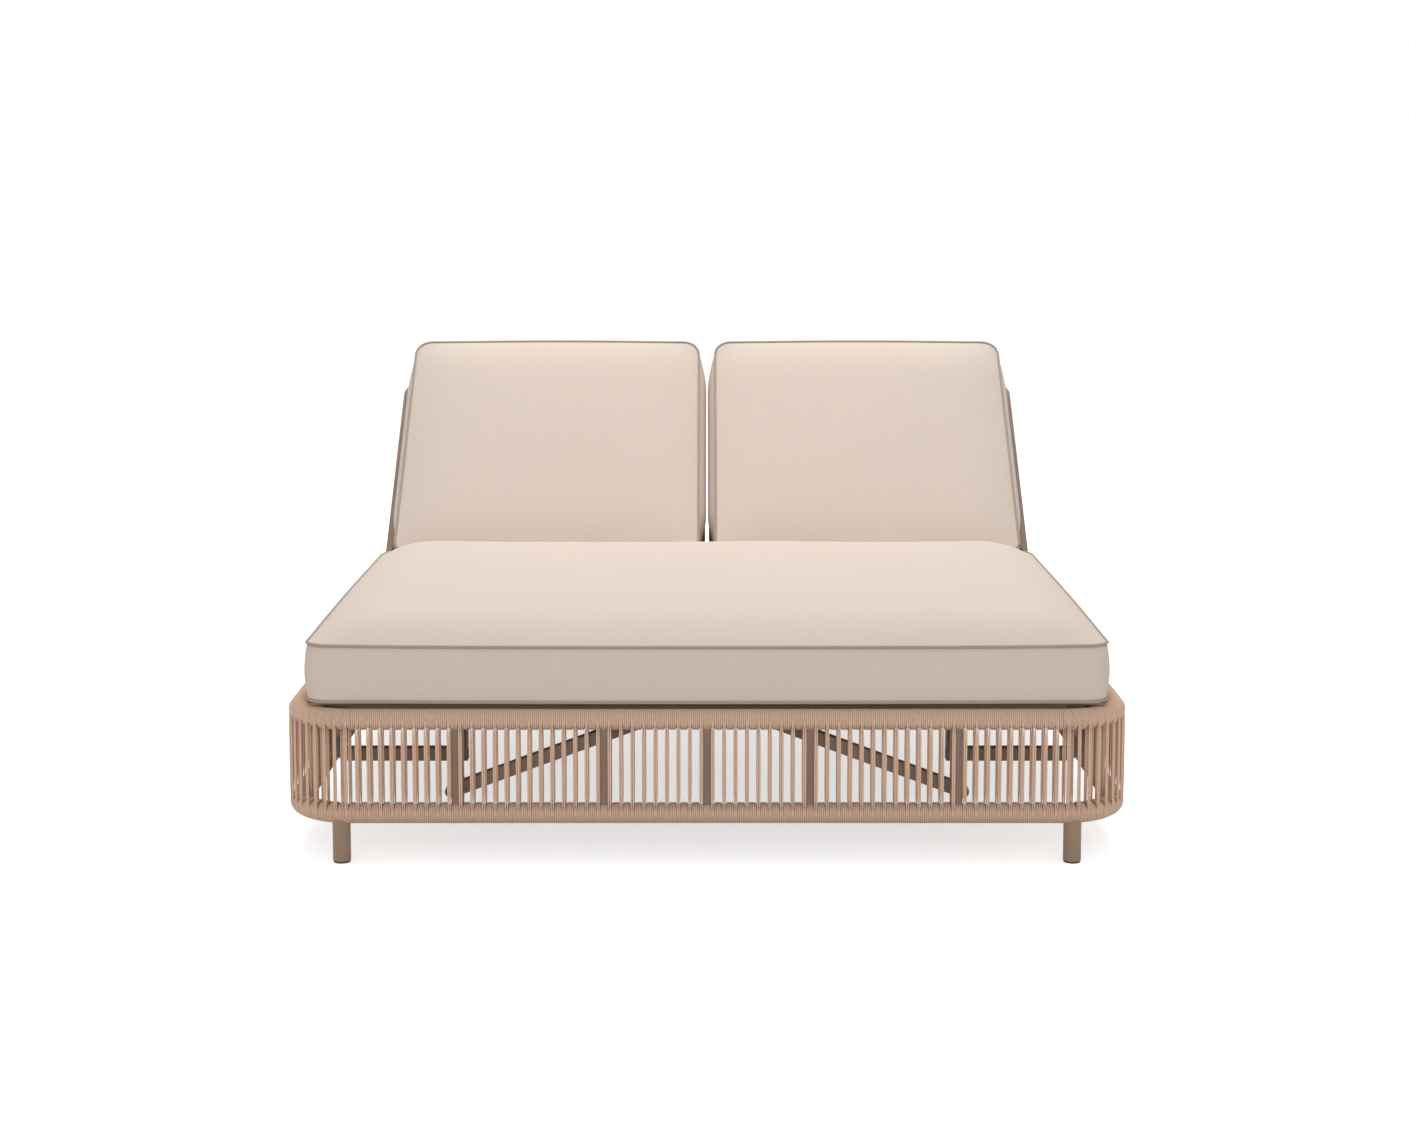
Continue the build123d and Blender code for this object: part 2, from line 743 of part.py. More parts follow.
# Hinge ears: one on each side ledger, and one with a foot on the centre beam
with BuildPart() as outer_ears:
    with BuildSketch(Plane.YZ.offset(ledger_outside)):
        with Locations((hinge_back, hinge_height)):
            Circle(ear_eye_radius)
        with Locations((hinge_back, (hinge_height + deck_beam_top - ear_depth) / 2)):
            Rectangle(2 * ear_eye_radius, hinge_height - deck_beam_top + ear_depth)
        with Locations((hinge_back, hinge_height)):
            Circle(hinge_pin_diameter / 2, mode=Mode.SUBTRACT)
    extrude(amount=ear_thickness)
    mirror(about=Plane.YZ)

with BuildPart() as hinge_ears:
    with BuildSketch(Plane.YZ.offset(-ear_thickness / 2)):
        with Locations((hinge_back, hinge_height)):
            Circle(ear_eye_radius)
        with Locations((hinge_back, (hinge_height + deck_beam_top) / 2)):
            Rectangle(2 * ear_eye_radius, hinge_height - deck_beam_top)
        with Locations((hinge_back, hinge_height)):
            Circle(hinge_pin_diameter / 2, mode=Mode.SUBTRACT)
    extrude(amount=ear_thickness)
    with BuildSketch(Plane.XY.offset(deck_beam_top)):
        with Locations((0, hinge_back)):
            Rectangle(beam_size, 2 * ear_foot_half_length)
    extrude(amount=ear_foot_thickness)
    add(outer_ears.part)
write_piece(hinge_ears, "hinge_ears")

# Hinge pins with a flat head at each end
centre_pin_grip = arm_inner_side + arm_thickness + side_clearance
outer_pin_grip = arm_outer_side + arm_thickness + side_clearance


with BuildPart() as hinge_pins:
    headed_pin(
        ledger_outside,
        outer_pin_grip,
        hinge_pin_diameter / 2,
        hinge_head_diameter / 2,
        hinge_head_thickness,
        (hinge_back, hinge_height),
    )
    mirror(about=Plane.YZ)
    headed_pin(
        -centre_pin_grip,
        centre_pin_grip,
        hinge_pin_diameter / 2,
        hinge_head_diameter / 2,
        hinge_head_thickness,
        (hinge_back, hinge_height),
    )
write_piece(hinge_pins, "hinge_pins")

# Racks: plates on the inner sides of the ledgers and the centre beam
rack_clear = foot_sleeve_diameter / 2 + rack_running_gap
rack_front_y = prop_foot(recline_most)[0] - rack_end_gap
rack_sides = (beam_size / 2, ledger_inside - rack_thickness)
crest_angles = [
    recline_most + (prop_rearmost_angle - recline_most) * step / rack_crest_steps
    for step in range(rack_crest_steps + 1)
]
crest_points = [crest_point(angle, rack_clear) for angle in crest_angles]
with BuildPart() as racks:
    for side in rack_sides:
        with BuildSketch(Plane.YZ.offset(side)):
            with BuildLine():
                crest = Spline(*crest_points)
                Polyline(
                    crest @ 1,
                    ((crest @ 1).X, rack_tab_top),
                    (tie_front, rack_tab_top),
                    (tie_front, rack_bottom),
                    (rack_front_y - rack_tab_width, rack_bottom),
                    (rack_front_y - rack_tab_width, rack_tab_top),
                    (rack_front_y, rack_tab_top),
                    (rack_front_y, (crest @ 0).Y),
                    crest @ 0,
                )
            make_face()
            for angle in recline_stops[1:-1]:
                foot_y, foot_z = prop_foot(angle)
                with Locations((foot_y, foot_z - rack_notch_depth)):
                    Circle(rack_clear, mode=Mode.SUBTRACT)
        extrude(amount=rack_thickness)
    mirror(about=Plane.YZ)
write_piece(racks, "prop_racks")

# Rubber bumpers that the flat backs come down on
bumper_height = hinge_height - back_tube_bottom_drop - deck_beam_top - bumper_gap
bumper_places = [
    (side * ledger_middle, hinge_back + along)
    for side in (-1, 1)
    for along in (back_frame_foot + back_tube / 2, prop_pivot_along)
] + [(0, hinge_back + along) for along in (prop_pivot_along, back_frame_head - back_bend_radius)]
with BuildPart() as bumpers:
    with BuildSketch(Plane.XY.offset(deck_beam_top)):
        with Locations(*bumper_places):
            Rectangle(bumper_width, bumper_length)
    extrude(amount=bumper_height)
write_piece(bumpers, "deck_bumpers")

# The two backs and their props: the right one is made, the left one is its mirror image
bend_centre_along = back_frame_head - back_tube / 2 - back_bend_radius
inner_tube_middle = back_inside + back_tube / 2
outer_tube_middle = back_outside - back_tube / 2
pieces = {}

for name, middle, inward in (
    ("outer", outer_tube_middle, -1),
    ("inner", inner_tube_middle, 1),
):
    with BuildPart() as side_tube:
        with BuildLine(back_plane(-back_tube_middle_drop)):
            straight = Line((middle, back_frame_foot), (middle, bend_centre_along))
            RadiusArc(
                straight @ 1,
                (middle + inward * back_bend_radius, bend_centre_along + back_bend_radius),
                inward * back_bend_radius,
            )
        with BuildSketch(section_up_back(middle, back_frame_foot, -back_tube_middle_drop)):
            Rectangle(back_tube, back_tube)
            Rectangle(back_tube_bore, back_tube_bore, mode=Mode.SUBTRACT)
        sweep()
    pieces[f"side_tube_{name}"] = side_tube

with BuildPart() as top_rail:
    rail_start = inner_tube_middle + back_bend_radius
    rail_end = outer_tube_middle - back_bend_radius
    with BuildSketch(across_back(rail_start)):
        with Locations((back_frame_head - back_tube / 2, -back_tube_middle_drop)):
            Rectangle(back_tube, back_tube)
            Rectangle(back_tube_bore, back_tube_bore, mode=Mode.SUBTRACT)
    extrude(amount=rail_end - rail_start)
pieces["top_rail"] = top_rail

# Cross tubes: the bottom rail, and the prop tube with a lug near each end
lug_places = (
    prop_arm_inner_across - prop_side_gap - lug_thickness,
    prop_arm_outer_across + prop_arm_thickness + prop_side_gap,
)
with BuildPart() as cross_tubes:
    cross_start = back_inside + back_tube
    cross_end = back_outside - back_tube
    for along in (back_frame_foot + back_tube / 2, prop_pivot_along):
        with BuildSketch(across_back(cross_start)):
            with Locations((along, -back_tube_middle_drop)):
                Rectangle(back_tube, back_tube)
                Rectangle(back_tube_bore, back_tube_bore, mode=Mode.SUBTRACT)
        extrude(amount=cross_end - cross_start)
    for side in lug_places:
        with BuildSketch(across_back(side)):
            with Locations((prop_pivot_along, -prop_pivot_drop)):
                Circle(prop_arm_width / 2)
            with Locations((prop_pivot_along, -(prop_pivot_drop + back_tube_bottom_drop) / 2)):
                Rectangle(prop_arm_width, prop_pivot_drop - back_tube_bottom_drop)
            with Locations((prop_pivot_along, -prop_pivot_drop)):
                Circle(prop_pin_diameter / 2, mode=Mode.SUBTRACT)
        extrude(amount=lug_thickness)
pieces["cross_tubes"] = cross_tubes

# Hinge arms that stand on the side tubes and carry the back on its pins
with BuildPart() as hinge_arms:
    for side in (arm_inner_side, arm_outer_side):
        with BuildSketch(across_back(side)):
            Circle(ear_eye_radius)
            arm_foot = (back_frame_foot + arm_foot_length / 2, -back_tube_top_drop + arm_thickness / 2)
            with Locations(arm_foot):
                Rectangle(arm_foot_length, arm_thickness)
            make_hull()
            Circle(hinge_pin_diameter / 2 + running_clearance, mode=Mode.SUBTRACT)
        extrude(amount=arm_thickness)
pieces["hinge_arms"] = hinge_arms

with BuildPart() as back_slats:
    with BuildSketch(back_plane(-back_tube_top_drop - back_slat_thickness)):
        with Locations(*[((cross_start + cross_end) / 2, along) for along in back_slat_places]):
            Rectangle(cross_end - cross_start, back_slat_width)
    extrude(amount=back_slat_thickness)
pieces["slats"] = back_slats

with BuildPart() as back_cushion:
    cushion_solid(
        back_plane,
        (back_cushion_outside - back_cushion_inside, back_cushion_head - back_cushion_foot),
        (
            (back_cushion_outside + back_cushion_inside) / 2,
            (back_cushion_head + back_cushion_foot) / 2,
        ),
        -back_tube_top_drop,
        back_seam_rise,
        back_crown,
        cushion_side_bulge,
    )
pieces["cushion"] = back_cushion

# Prop pins: fixed in the lugs, with the flat arms turning on them
prop_grips = (
    (lug_places[0], prop_arm_inner_across + prop_arm_thickness + side_clearance),
    (prop_arm_outer_across - side_clearance, lug_places[1] + lug_thickness),
)
with BuildPart() as prop_pins:
    for start, end in prop_grips:
        headed_pin(
            start,
            end,
            prop_pin_diameter / 2,
            prop_head_diameter / 2,
            prop_head_thickness,
            prop_pivot(recline_at_rest),
        )
pieces["prop_pins"] = prop_pins

for name, piece in pieces.items():
    write_piece(piece, f"right_back_{name}")
    with BuildPart() as left_piece:
        mirror(piece.part, about=Plane.YZ)
    write_piece(left_piece, f"left_back_{name}")

# Props: two flat arms, the foot rod through their ends, and a sleeve over each end of the rod
props = {}
pivot_y, pivot_z = prop_pivot(recline_at_rest)
foot_y, foot_z = prop_foot(recline_at_rest)
rod_start = beam_size / 2 + foot_end_gap
rod_end = ledger_inside - foot_end_gap
with BuildPart() as prop_arms:
    for side in (prop_arm_inner_across, prop_arm_outer_across):
        with BuildSketch(Plane.YZ.offset(side)):
            with Locations((pivot_y, pivot_z), (foot_y, foot_z)):
                Circle(prop_arm_width / 2)
            make_hull()
            with Locations((pivot_y, pivot_z)):
                Circle(prop_pin_diameter / 2 + running_clearance, mode=Mode.SUBTRACT)
            with Locations((foot_y, foot_z)):
                Circle(foot_rod_diameter / 2, mode=Mode.SUBTRACT)
        extrude(amount=prop_arm_thickness)
props["arms"] = prop_arms

with BuildPart() as foot_rod:
    with BuildSketch(Plane.YZ.offset(rod_start)):
        with Locations((foot_y, foot_z)):
            Circle(foot_rod_diameter / 2)
    extrude(amount=rod_end - rod_start)
props["foot_rod"] = foot_rod

with BuildPart() as foot_sleeves:
    for side in (rod_start, rod_end - foot_sleeve_length):
        with BuildSketch(Plane.YZ.offset(side)):
            with Locations((foot_y, foot_z)):
                Circle(foot_sleeve_diameter / 2)
                Circle(foot_rod_diameter / 2, mode=Mode.SUBTRACT)
        extrude(amount=foot_sleeve_length)
props["foot_sleeves"] = foot_sleeves

for name, piece in props.items():
    write_piece(piece, f"right_prop_{name}")
    with BuildPart() as left_piece:
        mirror(piece.part, about=Plane.YZ)
    write_piece(left_piece, f"left_prop_{name}")
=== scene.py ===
"""Looks of the double chaise lounger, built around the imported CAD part.

The base's rails are wound with rope, the seat and the two backs get sewn cushions, and the metal, nylon and
rubber get their finishes. A plain pale studio holds the photograph's camera. Everything is in metres, in the
CAD part's own frame.
"""

import json
import logging
import math
from dataclasses import dataclass, field
from enum import Enum
from typing import Any, Iterable, Optional, Sequence

import bpy
import numpy as np
from mathutils import Matrix, Vector


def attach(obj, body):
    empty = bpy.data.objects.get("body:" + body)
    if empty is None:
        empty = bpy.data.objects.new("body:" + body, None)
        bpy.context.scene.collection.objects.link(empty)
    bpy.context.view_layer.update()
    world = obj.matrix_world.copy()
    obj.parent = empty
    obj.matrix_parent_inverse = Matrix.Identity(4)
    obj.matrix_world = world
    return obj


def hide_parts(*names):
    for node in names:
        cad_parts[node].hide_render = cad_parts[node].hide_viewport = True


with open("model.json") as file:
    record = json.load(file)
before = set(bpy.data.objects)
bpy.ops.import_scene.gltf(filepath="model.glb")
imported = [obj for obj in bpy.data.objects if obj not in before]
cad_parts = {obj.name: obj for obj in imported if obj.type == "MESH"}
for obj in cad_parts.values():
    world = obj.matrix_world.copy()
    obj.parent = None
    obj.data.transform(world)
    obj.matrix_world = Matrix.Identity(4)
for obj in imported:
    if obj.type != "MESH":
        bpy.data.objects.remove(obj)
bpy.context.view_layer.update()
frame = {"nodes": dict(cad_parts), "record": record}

IMAGE_WIDTH = 1409
log = logging.getLogger("lounger")

Color = tuple[float, float, float]
Point = tuple[float, float, float]


class Slot(Enum):
    """The record's material slots."""

    FRAME = "frame_tube"
    LEG = "leg_tube"
    ROPE = "rope"
    CUSHION = "cushion"
    FASTENER = "fastener"
    GLIDE = "glide"
    BUMPER = "bumper"


class Graph:
    """A node tree that is being wired: a material's, a shader group's or a Geometry Nodes tree."""

    def __init__(self, tree: bpy.types.NodeTree) -> None:
        """Wraps the tree to add nodes to."""
        self.tree = tree

    def node(self, kind: str, inputs: Optional[dict] = None, **settings: Any) -> bpy.types.Node:
        """Adds a node.

        Args:
            kind: The node's type name.
            inputs: A value or an output socket for each named or numbered input.
            **settings: Properties of the node itself.

        Returns:
            The new node.
        """
        made = self.tree.nodes.new(kind)
        for name, value in settings.items():
            setattr(made, name, value)
        for key, value in (inputs or {}).items():
            if isinstance(value, bpy.types.NodeSocket):
                self.tree.links.new(value, made.inputs[key])
            else:
                made.inputs[key].default_value = value
        return made

    def first(self, kind: str, inputs: Optional[dict] = None, **settings: Any) -> bpy.types.NodeSocket:
        """Adds a node as node does, and returns its first output."""
        return self.node(kind, inputs, **settings).outputs[0]

    def shape(self, kind: str, inputs: Optional[dict] = None, **settings: Any) -> bpy.types.NodeSocket:
        """Adds a Geometry Nodes node by its short type name, and returns its first output."""
        return self.first("GeometryNode" + kind, inputs, **settings)

    def math(self, operation: str, *values: Any) -> bpy.types.NodeSocket:
        """Adds a Math node with numbers or sockets as its inputs, and returns its result."""
        return self.first("ShaderNodeMath", dict(enumerate(values)), operation=operation)

    def vector(self, operation: str, *values: Any) -> bpy.types.NodeSocket:
        """Adds a Vector Math node with vectors or sockets as its inputs, and returns its vector."""
        made = self.node("ShaderNodeVectorMath", dict(enumerate(values)), operation=operation)
        return made.outputs["Vector"]

    def combine(self, x: Any, y: Any, z: Any) -> bpy.types.NodeSocket:
        """Adds a Combine XYZ node and returns its vector."""
        return self.first("ShaderNodeCombineXYZ", {0: x, 1: y, 2: z})

    def noise(self, vector: Any, scale: Any, detail: float = 2.0) -> bpy.types.NodeSocket:
        """Adds a Noise Texture.

        Args:
            vector: The socket with its coordinates.
            scale: Its scale, per metre.
            detail: Its octaves.

        Returns:
            Its factor, from 0 to 1 with a mean near a half.
        """
        made = self.node("ShaderNodeTexNoise", {"Vector": vector, "Scale": scale, "Detail": detail})
        return made.outputs["Fac"]

    def spread(
        self, value: Any, low: float, high: float, start: float = 0.0, end: float = 1.0, **settings: Any
    ) -> bpy.types.NodeSocket:
        """Adds a Map Range node.

        Args:
            value: The socket to map.
            low: What start becomes.
            high: What end becomes.
            start: The low end of the value's range.
            end: The high end of the value's range.
            **settings: Properties of the node itself.

        Returns:
            Its result.
        """
        return self.first("ShaderNodeMapRange", {0: value, 1: start, 2: end, 3: low, 4: high}, **settings)

    def ease(self, value: Any, reach: float, low: float, high: float) -> bpy.types.NodeSocket:
        """Adds a smooth Map Range node, from low at 0 to high at the reach, and returns its result."""
        return self.spread(value, low, high, 0.0, reach, interpolation_type="SMOOTHSTEP")

    def blend(self, factor: Any, low: Any, high: Color) -> bpy.types.NodeSocket:
        """Adds a colour Mix node.

        Args:
            factor: The socket that picks between the colours.
            low: The colour at 0, or its socket.
            high: The colour at 1.

        Returns:
            The mixed colour.
        """
        low = low if isinstance(low, bpy.types.NodeSocket) else (*low, 1.0)
        return self.node("ShaderNodeMix", {0: factor, 6: low, 7: (*high, 1.0)}, data_type="RGBA").outputs[2]

    def join(self, parts: Iterable[bpy.types.NodeSocket]) -> bpy.types.NodeSocket:
        """Joins the geometry of some sockets."""
        made = self.node("GeometryNodeJoinGeometry")
        for part in parts:
            self.tree.links.new(part, made.inputs[0])
        return made.outputs[0]

    def mark(self, geometry: Any, name: str, value: Any) -> bpy.types.NodeSocket:
        """Stores a value on a geometry's points under a name, and returns the marked geometry."""
        inputs = {"Geometry": geometry, "Name": name, "Value": value}
        return self.shape("StoreNamedAttribute", inputs, data_type="FLOAT", domain="POINT")

    def tube(self, curve: Any, radius: Any, sides: int, capped: bool = True) -> bpy.types.NodeSocket:
        """Sweeps a circle with so many sides along a curve, with its ends capped or open."""
        ring = self.shape("CurvePrimitiveCircle", {"Resolution": sides, "Radius": 1.0}, mode="RADIUS")
        inputs = {"Curve": curve, "Profile Curve": ring, "Scale": radius, "Fill Caps": capped}
        return self.shape("CurveToMesh", inputs)

    def give(self, **values: bpy.types.NodeSocket) -> bpy.types.NodeTree:
        """Plugs sockets into the group's outputs of the same names, and returns its tree."""
        for name, value in values.items():
            self.tree.links.new(value, self.leave.inputs[name])
        return self.tree

    def give_mesh(self, mesh: bpy.types.NodeSocket) -> bpy.types.NodeTree:
        """Gives out a mesh that is real and smooth and has the group's Finish, and returns the tree."""
        smooth = self.shape("SetShadeSmooth", {"Geometry": self.shape("RealizeInstances", {0: mesh})})
        inputs = {"Geometry": smooth, "Material": self.enter["Finish"]}
        return self.give(Geometry=self.shape("SetMaterial", inputs))


def new_group(name: str, kind: str, takes: dict[str, str], gives: dict[str, str]) -> Graph:
    """Starts a node group with named sockets.

    Args:
        name: The group's name.
        kind: Its tree type.
        takes: The short type of each input's socket.
        gives: The short type of each output's socket.

    Returns:
        The group's graph, with its two end nodes as enter and leave.
    """
    tree = bpy.data.node_groups.new(name, kind)
    for way, labels in (("INPUT", takes), ("OUTPUT", gives)):
        for label, socket in labels.items():
            tree.interface.new_socket(label, in_out=way, socket_type="NodeSocket" + socket)
    graph = Graph(tree)
    graph.enter = tree.nodes.new("NodeGroupInput").outputs
    graph.leave = tree.nodes.new("NodeGroupOutput")
    return graph


class Textures:
    """The shader groups that more than one finish uses."""

    def __init__(self) -> None:
        """Builds the groups."""
        self.grain = self.make_grain()
        self.weave = self.make_weave()

    @staticmethod
    def make_grain() -> bpy.types.NodeTree:
        """Builds the group for mottling and fine grain.

        Returns:
            The group's tree, which gives Mottle and Grain from 0 to 1.
        """
        takes = {"Vector": "Vector", "Mottle Scale": "Float", "Grain Scale": "Float"}
        graph = new_group("mottle_and_grain", "ShaderNodeTree", takes, {"Mottle": "Float", "Grain": "Float"})
        mottle = graph.noise(graph.enter["Vector"], graph.enter["Mottle Scale"], 3.0)
        grain = graph.noise(graph.enter["Vector"], graph.enter["Grain Scale"])
        return graph.give(Mottle=graph.spread(mottle, 0.0, 1.0, 0.3, 0.7), Grain=grain)

    @staticmethod
    def make_weave() -> bpy.types.NodeTree:
        """Builds the group for plain-woven cloth with slubs.

        Returns:
            The group's tree. It gives the threads' Height and Slub, the thicker lengths of yarn.
        """
        gives = {"Height": "Float", "Slub": "Float"}
        graph = new_group("plain_weave", "ShaderNodeTree", {"Cloth": "Vector", "Pitch": "Float"}, gives)
        cloth = graph.enter["Cloth"]
        wander = graph.node("ShaderNodeTexNoise", {"Vector": cloth, "Scale": 55.0, "Detail": 2.0})
        wander = graph.vector("SCALE", graph.vector("SUBTRACT", wander.outputs["Color"], (0.5, 0.5, 0.5)))
        wander.node.inputs["Scale"].default_value = 0.0016
        threads = graph.node("ShaderNodeSeparateXYZ", {0: graph.vector("ADD", cloth, wander)}).outputs
        turns = graph.math("DIVIDE", math.pi, graph.enter["Pitch"])
        warp, weft = (graph.math("SINE", graph.math("MULTIPLY", threads[i], turns)) for i in (0, 1))
        height = graph.spread(graph.math("MULTIPLY", warp, weft), 0.0, 1.0, -1.0, 1.0)
        along = graph.noise(graph.vector("MULTIPLY", cloth, (26.0, 620.0, 620.0)), 1.0)
        across = graph.noise(graph.vector("MULTIPLY", cloth, (620.0, 22.0, 22.0)), 1.0)
        slub = graph.spread(graph.math("ADD", along, across), 0.0, 1.0, 0.7, 1.3)
        return graph.give(Height=height, Slub=slub)


def empty_tree(owner: Any) -> bpy.types.NodeTree:
    """Turns on the nodes of a material or a world, and empties its tree."""
    owner.use_nodes = True
    owner.node_tree.nodes.clear()
    return owner.node_tree


class Surface(Graph):
    """A material's tree, with its shader and the textures that the finishes share."""

    def __init__(self, finish: "Finish", textures: Textures) -> None:
        """Creates the material.

        Args:
            finish: The finish that it is for.
            textures: The shared shader groups.
        """
        self.material = bpy.data.materials.new(finish.name)
        self.material.diffuse_color = (*finish.color, 1.0)
        super().__init__(empty_tree(self.material))
        inputs = {"Base Color": (*finish.color, 1.0), "Roughness": finish.roughness, **finish.extras}
        self.shader = self.node("ShaderNodeBsdfPrincipled", inputs)
        self.node("ShaderNodeOutputMaterial", {"Surface": self.shader.outputs[0]})
        self.place = self.node("ShaderNodeTexCoord").outputs["Object"]
        self.textures = textures

    def grain(self, mottle_scale: float, grain_scale: float) -> tuple[bpy.types.NodeSocket, ...]:
        """Adds the mottling and the fine grain, scaled per metre, and returns both factors."""
        inputs = {"Vector": self.place, "Mottle Scale": mottle_scale, "Grain Scale": grain_scale}
        made = self.node("ShaderNodeGroup", inputs, node_tree=self.textures.grain)
        return made.outputs["Mottle"], made.outputs["Grain"]

    def dress(self, color: Any, height: Any, strength: float, distance: float) -> None:
        """Plugs in a colour, and a bump with its height, its strength and its distance in metres."""
        self.tree.links.new(color, self.shader.inputs["Base Color"])
        bump = self.first("ShaderNodeBump", {"Strength": strength, "Distance": distance, "Height": height})
        self.tree.links.new(bump, self.shader.inputs["Normal"])

    def roughen(self, value: Any, low: float, high: float) -> None:
        """Lets the roughness follow a factor, from low to high."""
        self.tree.links.new(self.spread(value, low, high, 0.3, 0.7), self.shader.inputs["Roughness"])


@dataclass(frozen=True)
class Finish:
    """What every finish starts from. Each kind adds its own look."""

    name: str
    color: Color
    roughness: float
    extras = {}

    def tint(self, share: float) -> Color:
        """The finish's colour made lighter or darker by a share."""
        return tuple(min(1.0, channel * share) for channel in self.color)

    def build(self, textures: Textures) -> bpy.types.Material:
        """Makes the material.

        Args:
            textures: The shared shader groups.

        Returns:
            The material.
        """
        surface = Surface(self, textures)
        self.look(surface)
        return surface.material


@dataclass(frozen=True)
class GrainedFinish(Finish):
    """Powder coat, nylon or rubber: an even colour with soft mottling and a fine grain."""

    mottle: float = 0.06
    mottle_scale: float = 9.0
    grain_scale: float = 1100.0
    bump: float = 0.25
    depth: float = 0.00012

    def look(self, graph: Surface) -> None:
        """Adds the mottling and the grain."""
        mottle, grain = graph.grain(self.mottle_scale, self.grain_scale)
        color = graph.blend(mottle, self.tint(1.0 - self.mottle), self.tint(1.0 + self.mottle))
        graph.dress(color, grain, self.bump, self.depth)
        graph.roughen(grain, self.roughness - 0.07, self.roughness + 0.07)


@dataclass(frozen=True)
class BrushedSteel(Finish):
    """Stainless steel, brushed round its axis."""

    extras = {"Metallic": 1.0}

    def look(self, graph: Surface) -> None:
        """Adds the streaks of the brush."""
        streaks = graph.noise(graph.vector("MULTIPLY", graph.place, (2600.0, 160.0, 160.0)), 1.0)
        graph.dress(graph.blend(streaks, self.tint(0.86), self.tint(1.08)), streaks, 0.2, 0.00005)
        graph.roughen(streaks, self.roughness - 0.08, self.roughness + 0.12)


@dataclass(frozen=True)
class BraidedRope(Finish):
    """Round braided outdoor rope: a diamond braid, with one length a little paler than the next."""

    groove_shade: float = 0.38
    braid: float = 0.0016
    bump: float = 0.55
    extras = {"Sheen Weight": 0.12, "Specular IOR Level": 0.3}

    def look(self, graph: Surface) -> None:
        """Adds the braid's three lays and its mottling, and paints light and shade on them: the lays' ridges
        and the turns' crests lighter, the grooves between the turns in painted shade.
        """
        x, y, z = graph.node("ShaderNodeSeparateXYZ", {0: graph.place}).outputs
        both = graph.math("ADD", x, y)
        lays = (
            graph.math("ADD", both, z),
            graph.math("SUBTRACT", both, z),
            graph.math("SUBTRACT", graph.math("SUBTRACT", x, y), z),
        )
        waves = [
            graph.math("ABSOLUTE", graph.math("SINE", graph.math("MULTIPLY", lay, math.pi / self.braid)))
            for lay in lays
        ]
        waved = graph.math("ADD", graph.math("ADD", *waves[:2]), waves[2])
        height = graph.math("MULTIPLY", waved, 1.0 / 3.0)
        mottle, grain = graph.grain(130.0, 2400.0)
        mottled = graph.math("MULTIPLY", mottle, 0.55)
        shade = graph.spread(graph.math("ADD", mottled, graph.math("MULTIPLY", height, 0.45)), 0.78, 1.0)
        # Painted light and shade: the crest mark runs from 0 in the grooves between the turns to 1 on their
        # tops, and the colour follows it.
        crest = graph.node("ShaderNodeAttribute", attribute_name="crest").outputs["Fac"]
        lit = graph.math("MULTIPLY", graph.spread(crest, 0.0, 1.0, 0.0, 0.85), shade)
        color = graph.blend(lit, self.tint(self.groove_shade), self.tint(1.12))
        fibres = graph.math("ADD", height, graph.math("MULTIPLY", grain, 0.35))
        graph.dress(color, fibres, self.bump, 0.0004)


@dataclass(frozen=True)
class WovenCloth(Finish):
    """Outdoor cloth with the look of linen: a plain weave with slubs both ways, with painted shadow in its
    seams.
    """

    pitch: float = 0.0013
    slub: float = 0.035
    bump: float = 0.22
    seam_shadow: float = 0.85
    seam_reach: float = 4.0
    seam_shadow_tint: float = 0.3
    on_panels: bool = True
    extras = {"Sheen Weight": 0.08, "Specular IOR Level": 0.25}

    def look(self, graph: Surface) -> None:
        """Adds the weave with its slubs, its mottling and the painted shadow in its seams."""
        cloth = graph.first("ShaderNodeUVMap", uv_map=Cushion.uv_name) if self.on_panels else graph.place
        inputs = {"Cloth": cloth, "Pitch": self.pitch}
        weave = graph.node("ShaderNodeGroup", inputs, node_tree=graph.textures.weave).outputs
        mottle = graph.grain(5.0, 700.0)[0]
        slubs = graph.math("MULTIPLY", weave["Slub"], 0.6)
        yarn = graph.math("ADD", slubs, graph.math("MULTIPLY", weave["Height"], 0.25))
        shade = graph.math("ADD", yarn, graph.math("MULTIPLY", mottle, 0.15))
        woven = graph.blend(shade, self.tint(1.0 - 1.6 * self.slub), self.tint(1.0 + self.slub))
        # Painted shadow: the cloth turns dark towards the seam marks.
        seam = graph.node("ShaderNodeAttribute", attribute_name="seam").outputs["Fac"]
        shadow = graph.math("MULTIPLY", graph.math("POWER", seam, self.seam_reach), self.seam_shadow)
        color = graph.blend(shadow, woven, self.tint(self.seam_shadow_tint))
        height = graph.math("ADD", weave["Height"], graph.math("MULTIPLY", weave["Slub"], 0.8))
        graph.dress(color, height, self.bump, 0.0003)


class Palette:
    """Every finish of the lounger, built once."""

    def __init__(self) -> None:
        """Builds the materials, one for each of the record's slots and one for the piping."""
        textures = Textures()
        finishes = {
            Slot.FRAME: GrainedFinish("frame_powder_coat", (0.290, 0.200, 0.145), 0.52),
            Slot.LEG: GrainedFinish("leg_powder_coat", (0.345, 0.235, 0.155), 0.50, mottle=0.05),
            Slot.ROPE: BraidedRope("braided_rope", (0.785, 0.545, 0.396), 0.78),
            Slot.CUSHION: WovenCloth("cushion_cloth", (0.780, 0.658, 0.568), 0.9),
            Slot.FASTENER: BrushedSteel("brushed_steel", (0.620, 0.600, 0.580), 0.3),
            Slot.GLIDE: GrainedFinish("dark_nylon", (0.060, 0.050, 0.042), 0.45, grain_scale=1500.0),
            Slot.BUMPER: GrainedFinish("black_rubber", (0.030, 0.028, 0.026), 0.75, mottle=0.2),
        }
        self.slots = {slot: finish.build(textures) for slot, finish in finishes.items()}
        # The piping is the cushions' own cloth; its darker colour is painted shade, the shadow along the
        # seams.
        piping = WovenCloth("piping_cloth", (0.470, 0.380, 0.310), 0.9, slub=0.05, on_panels=False)
        self.piping = piping.build(textures)


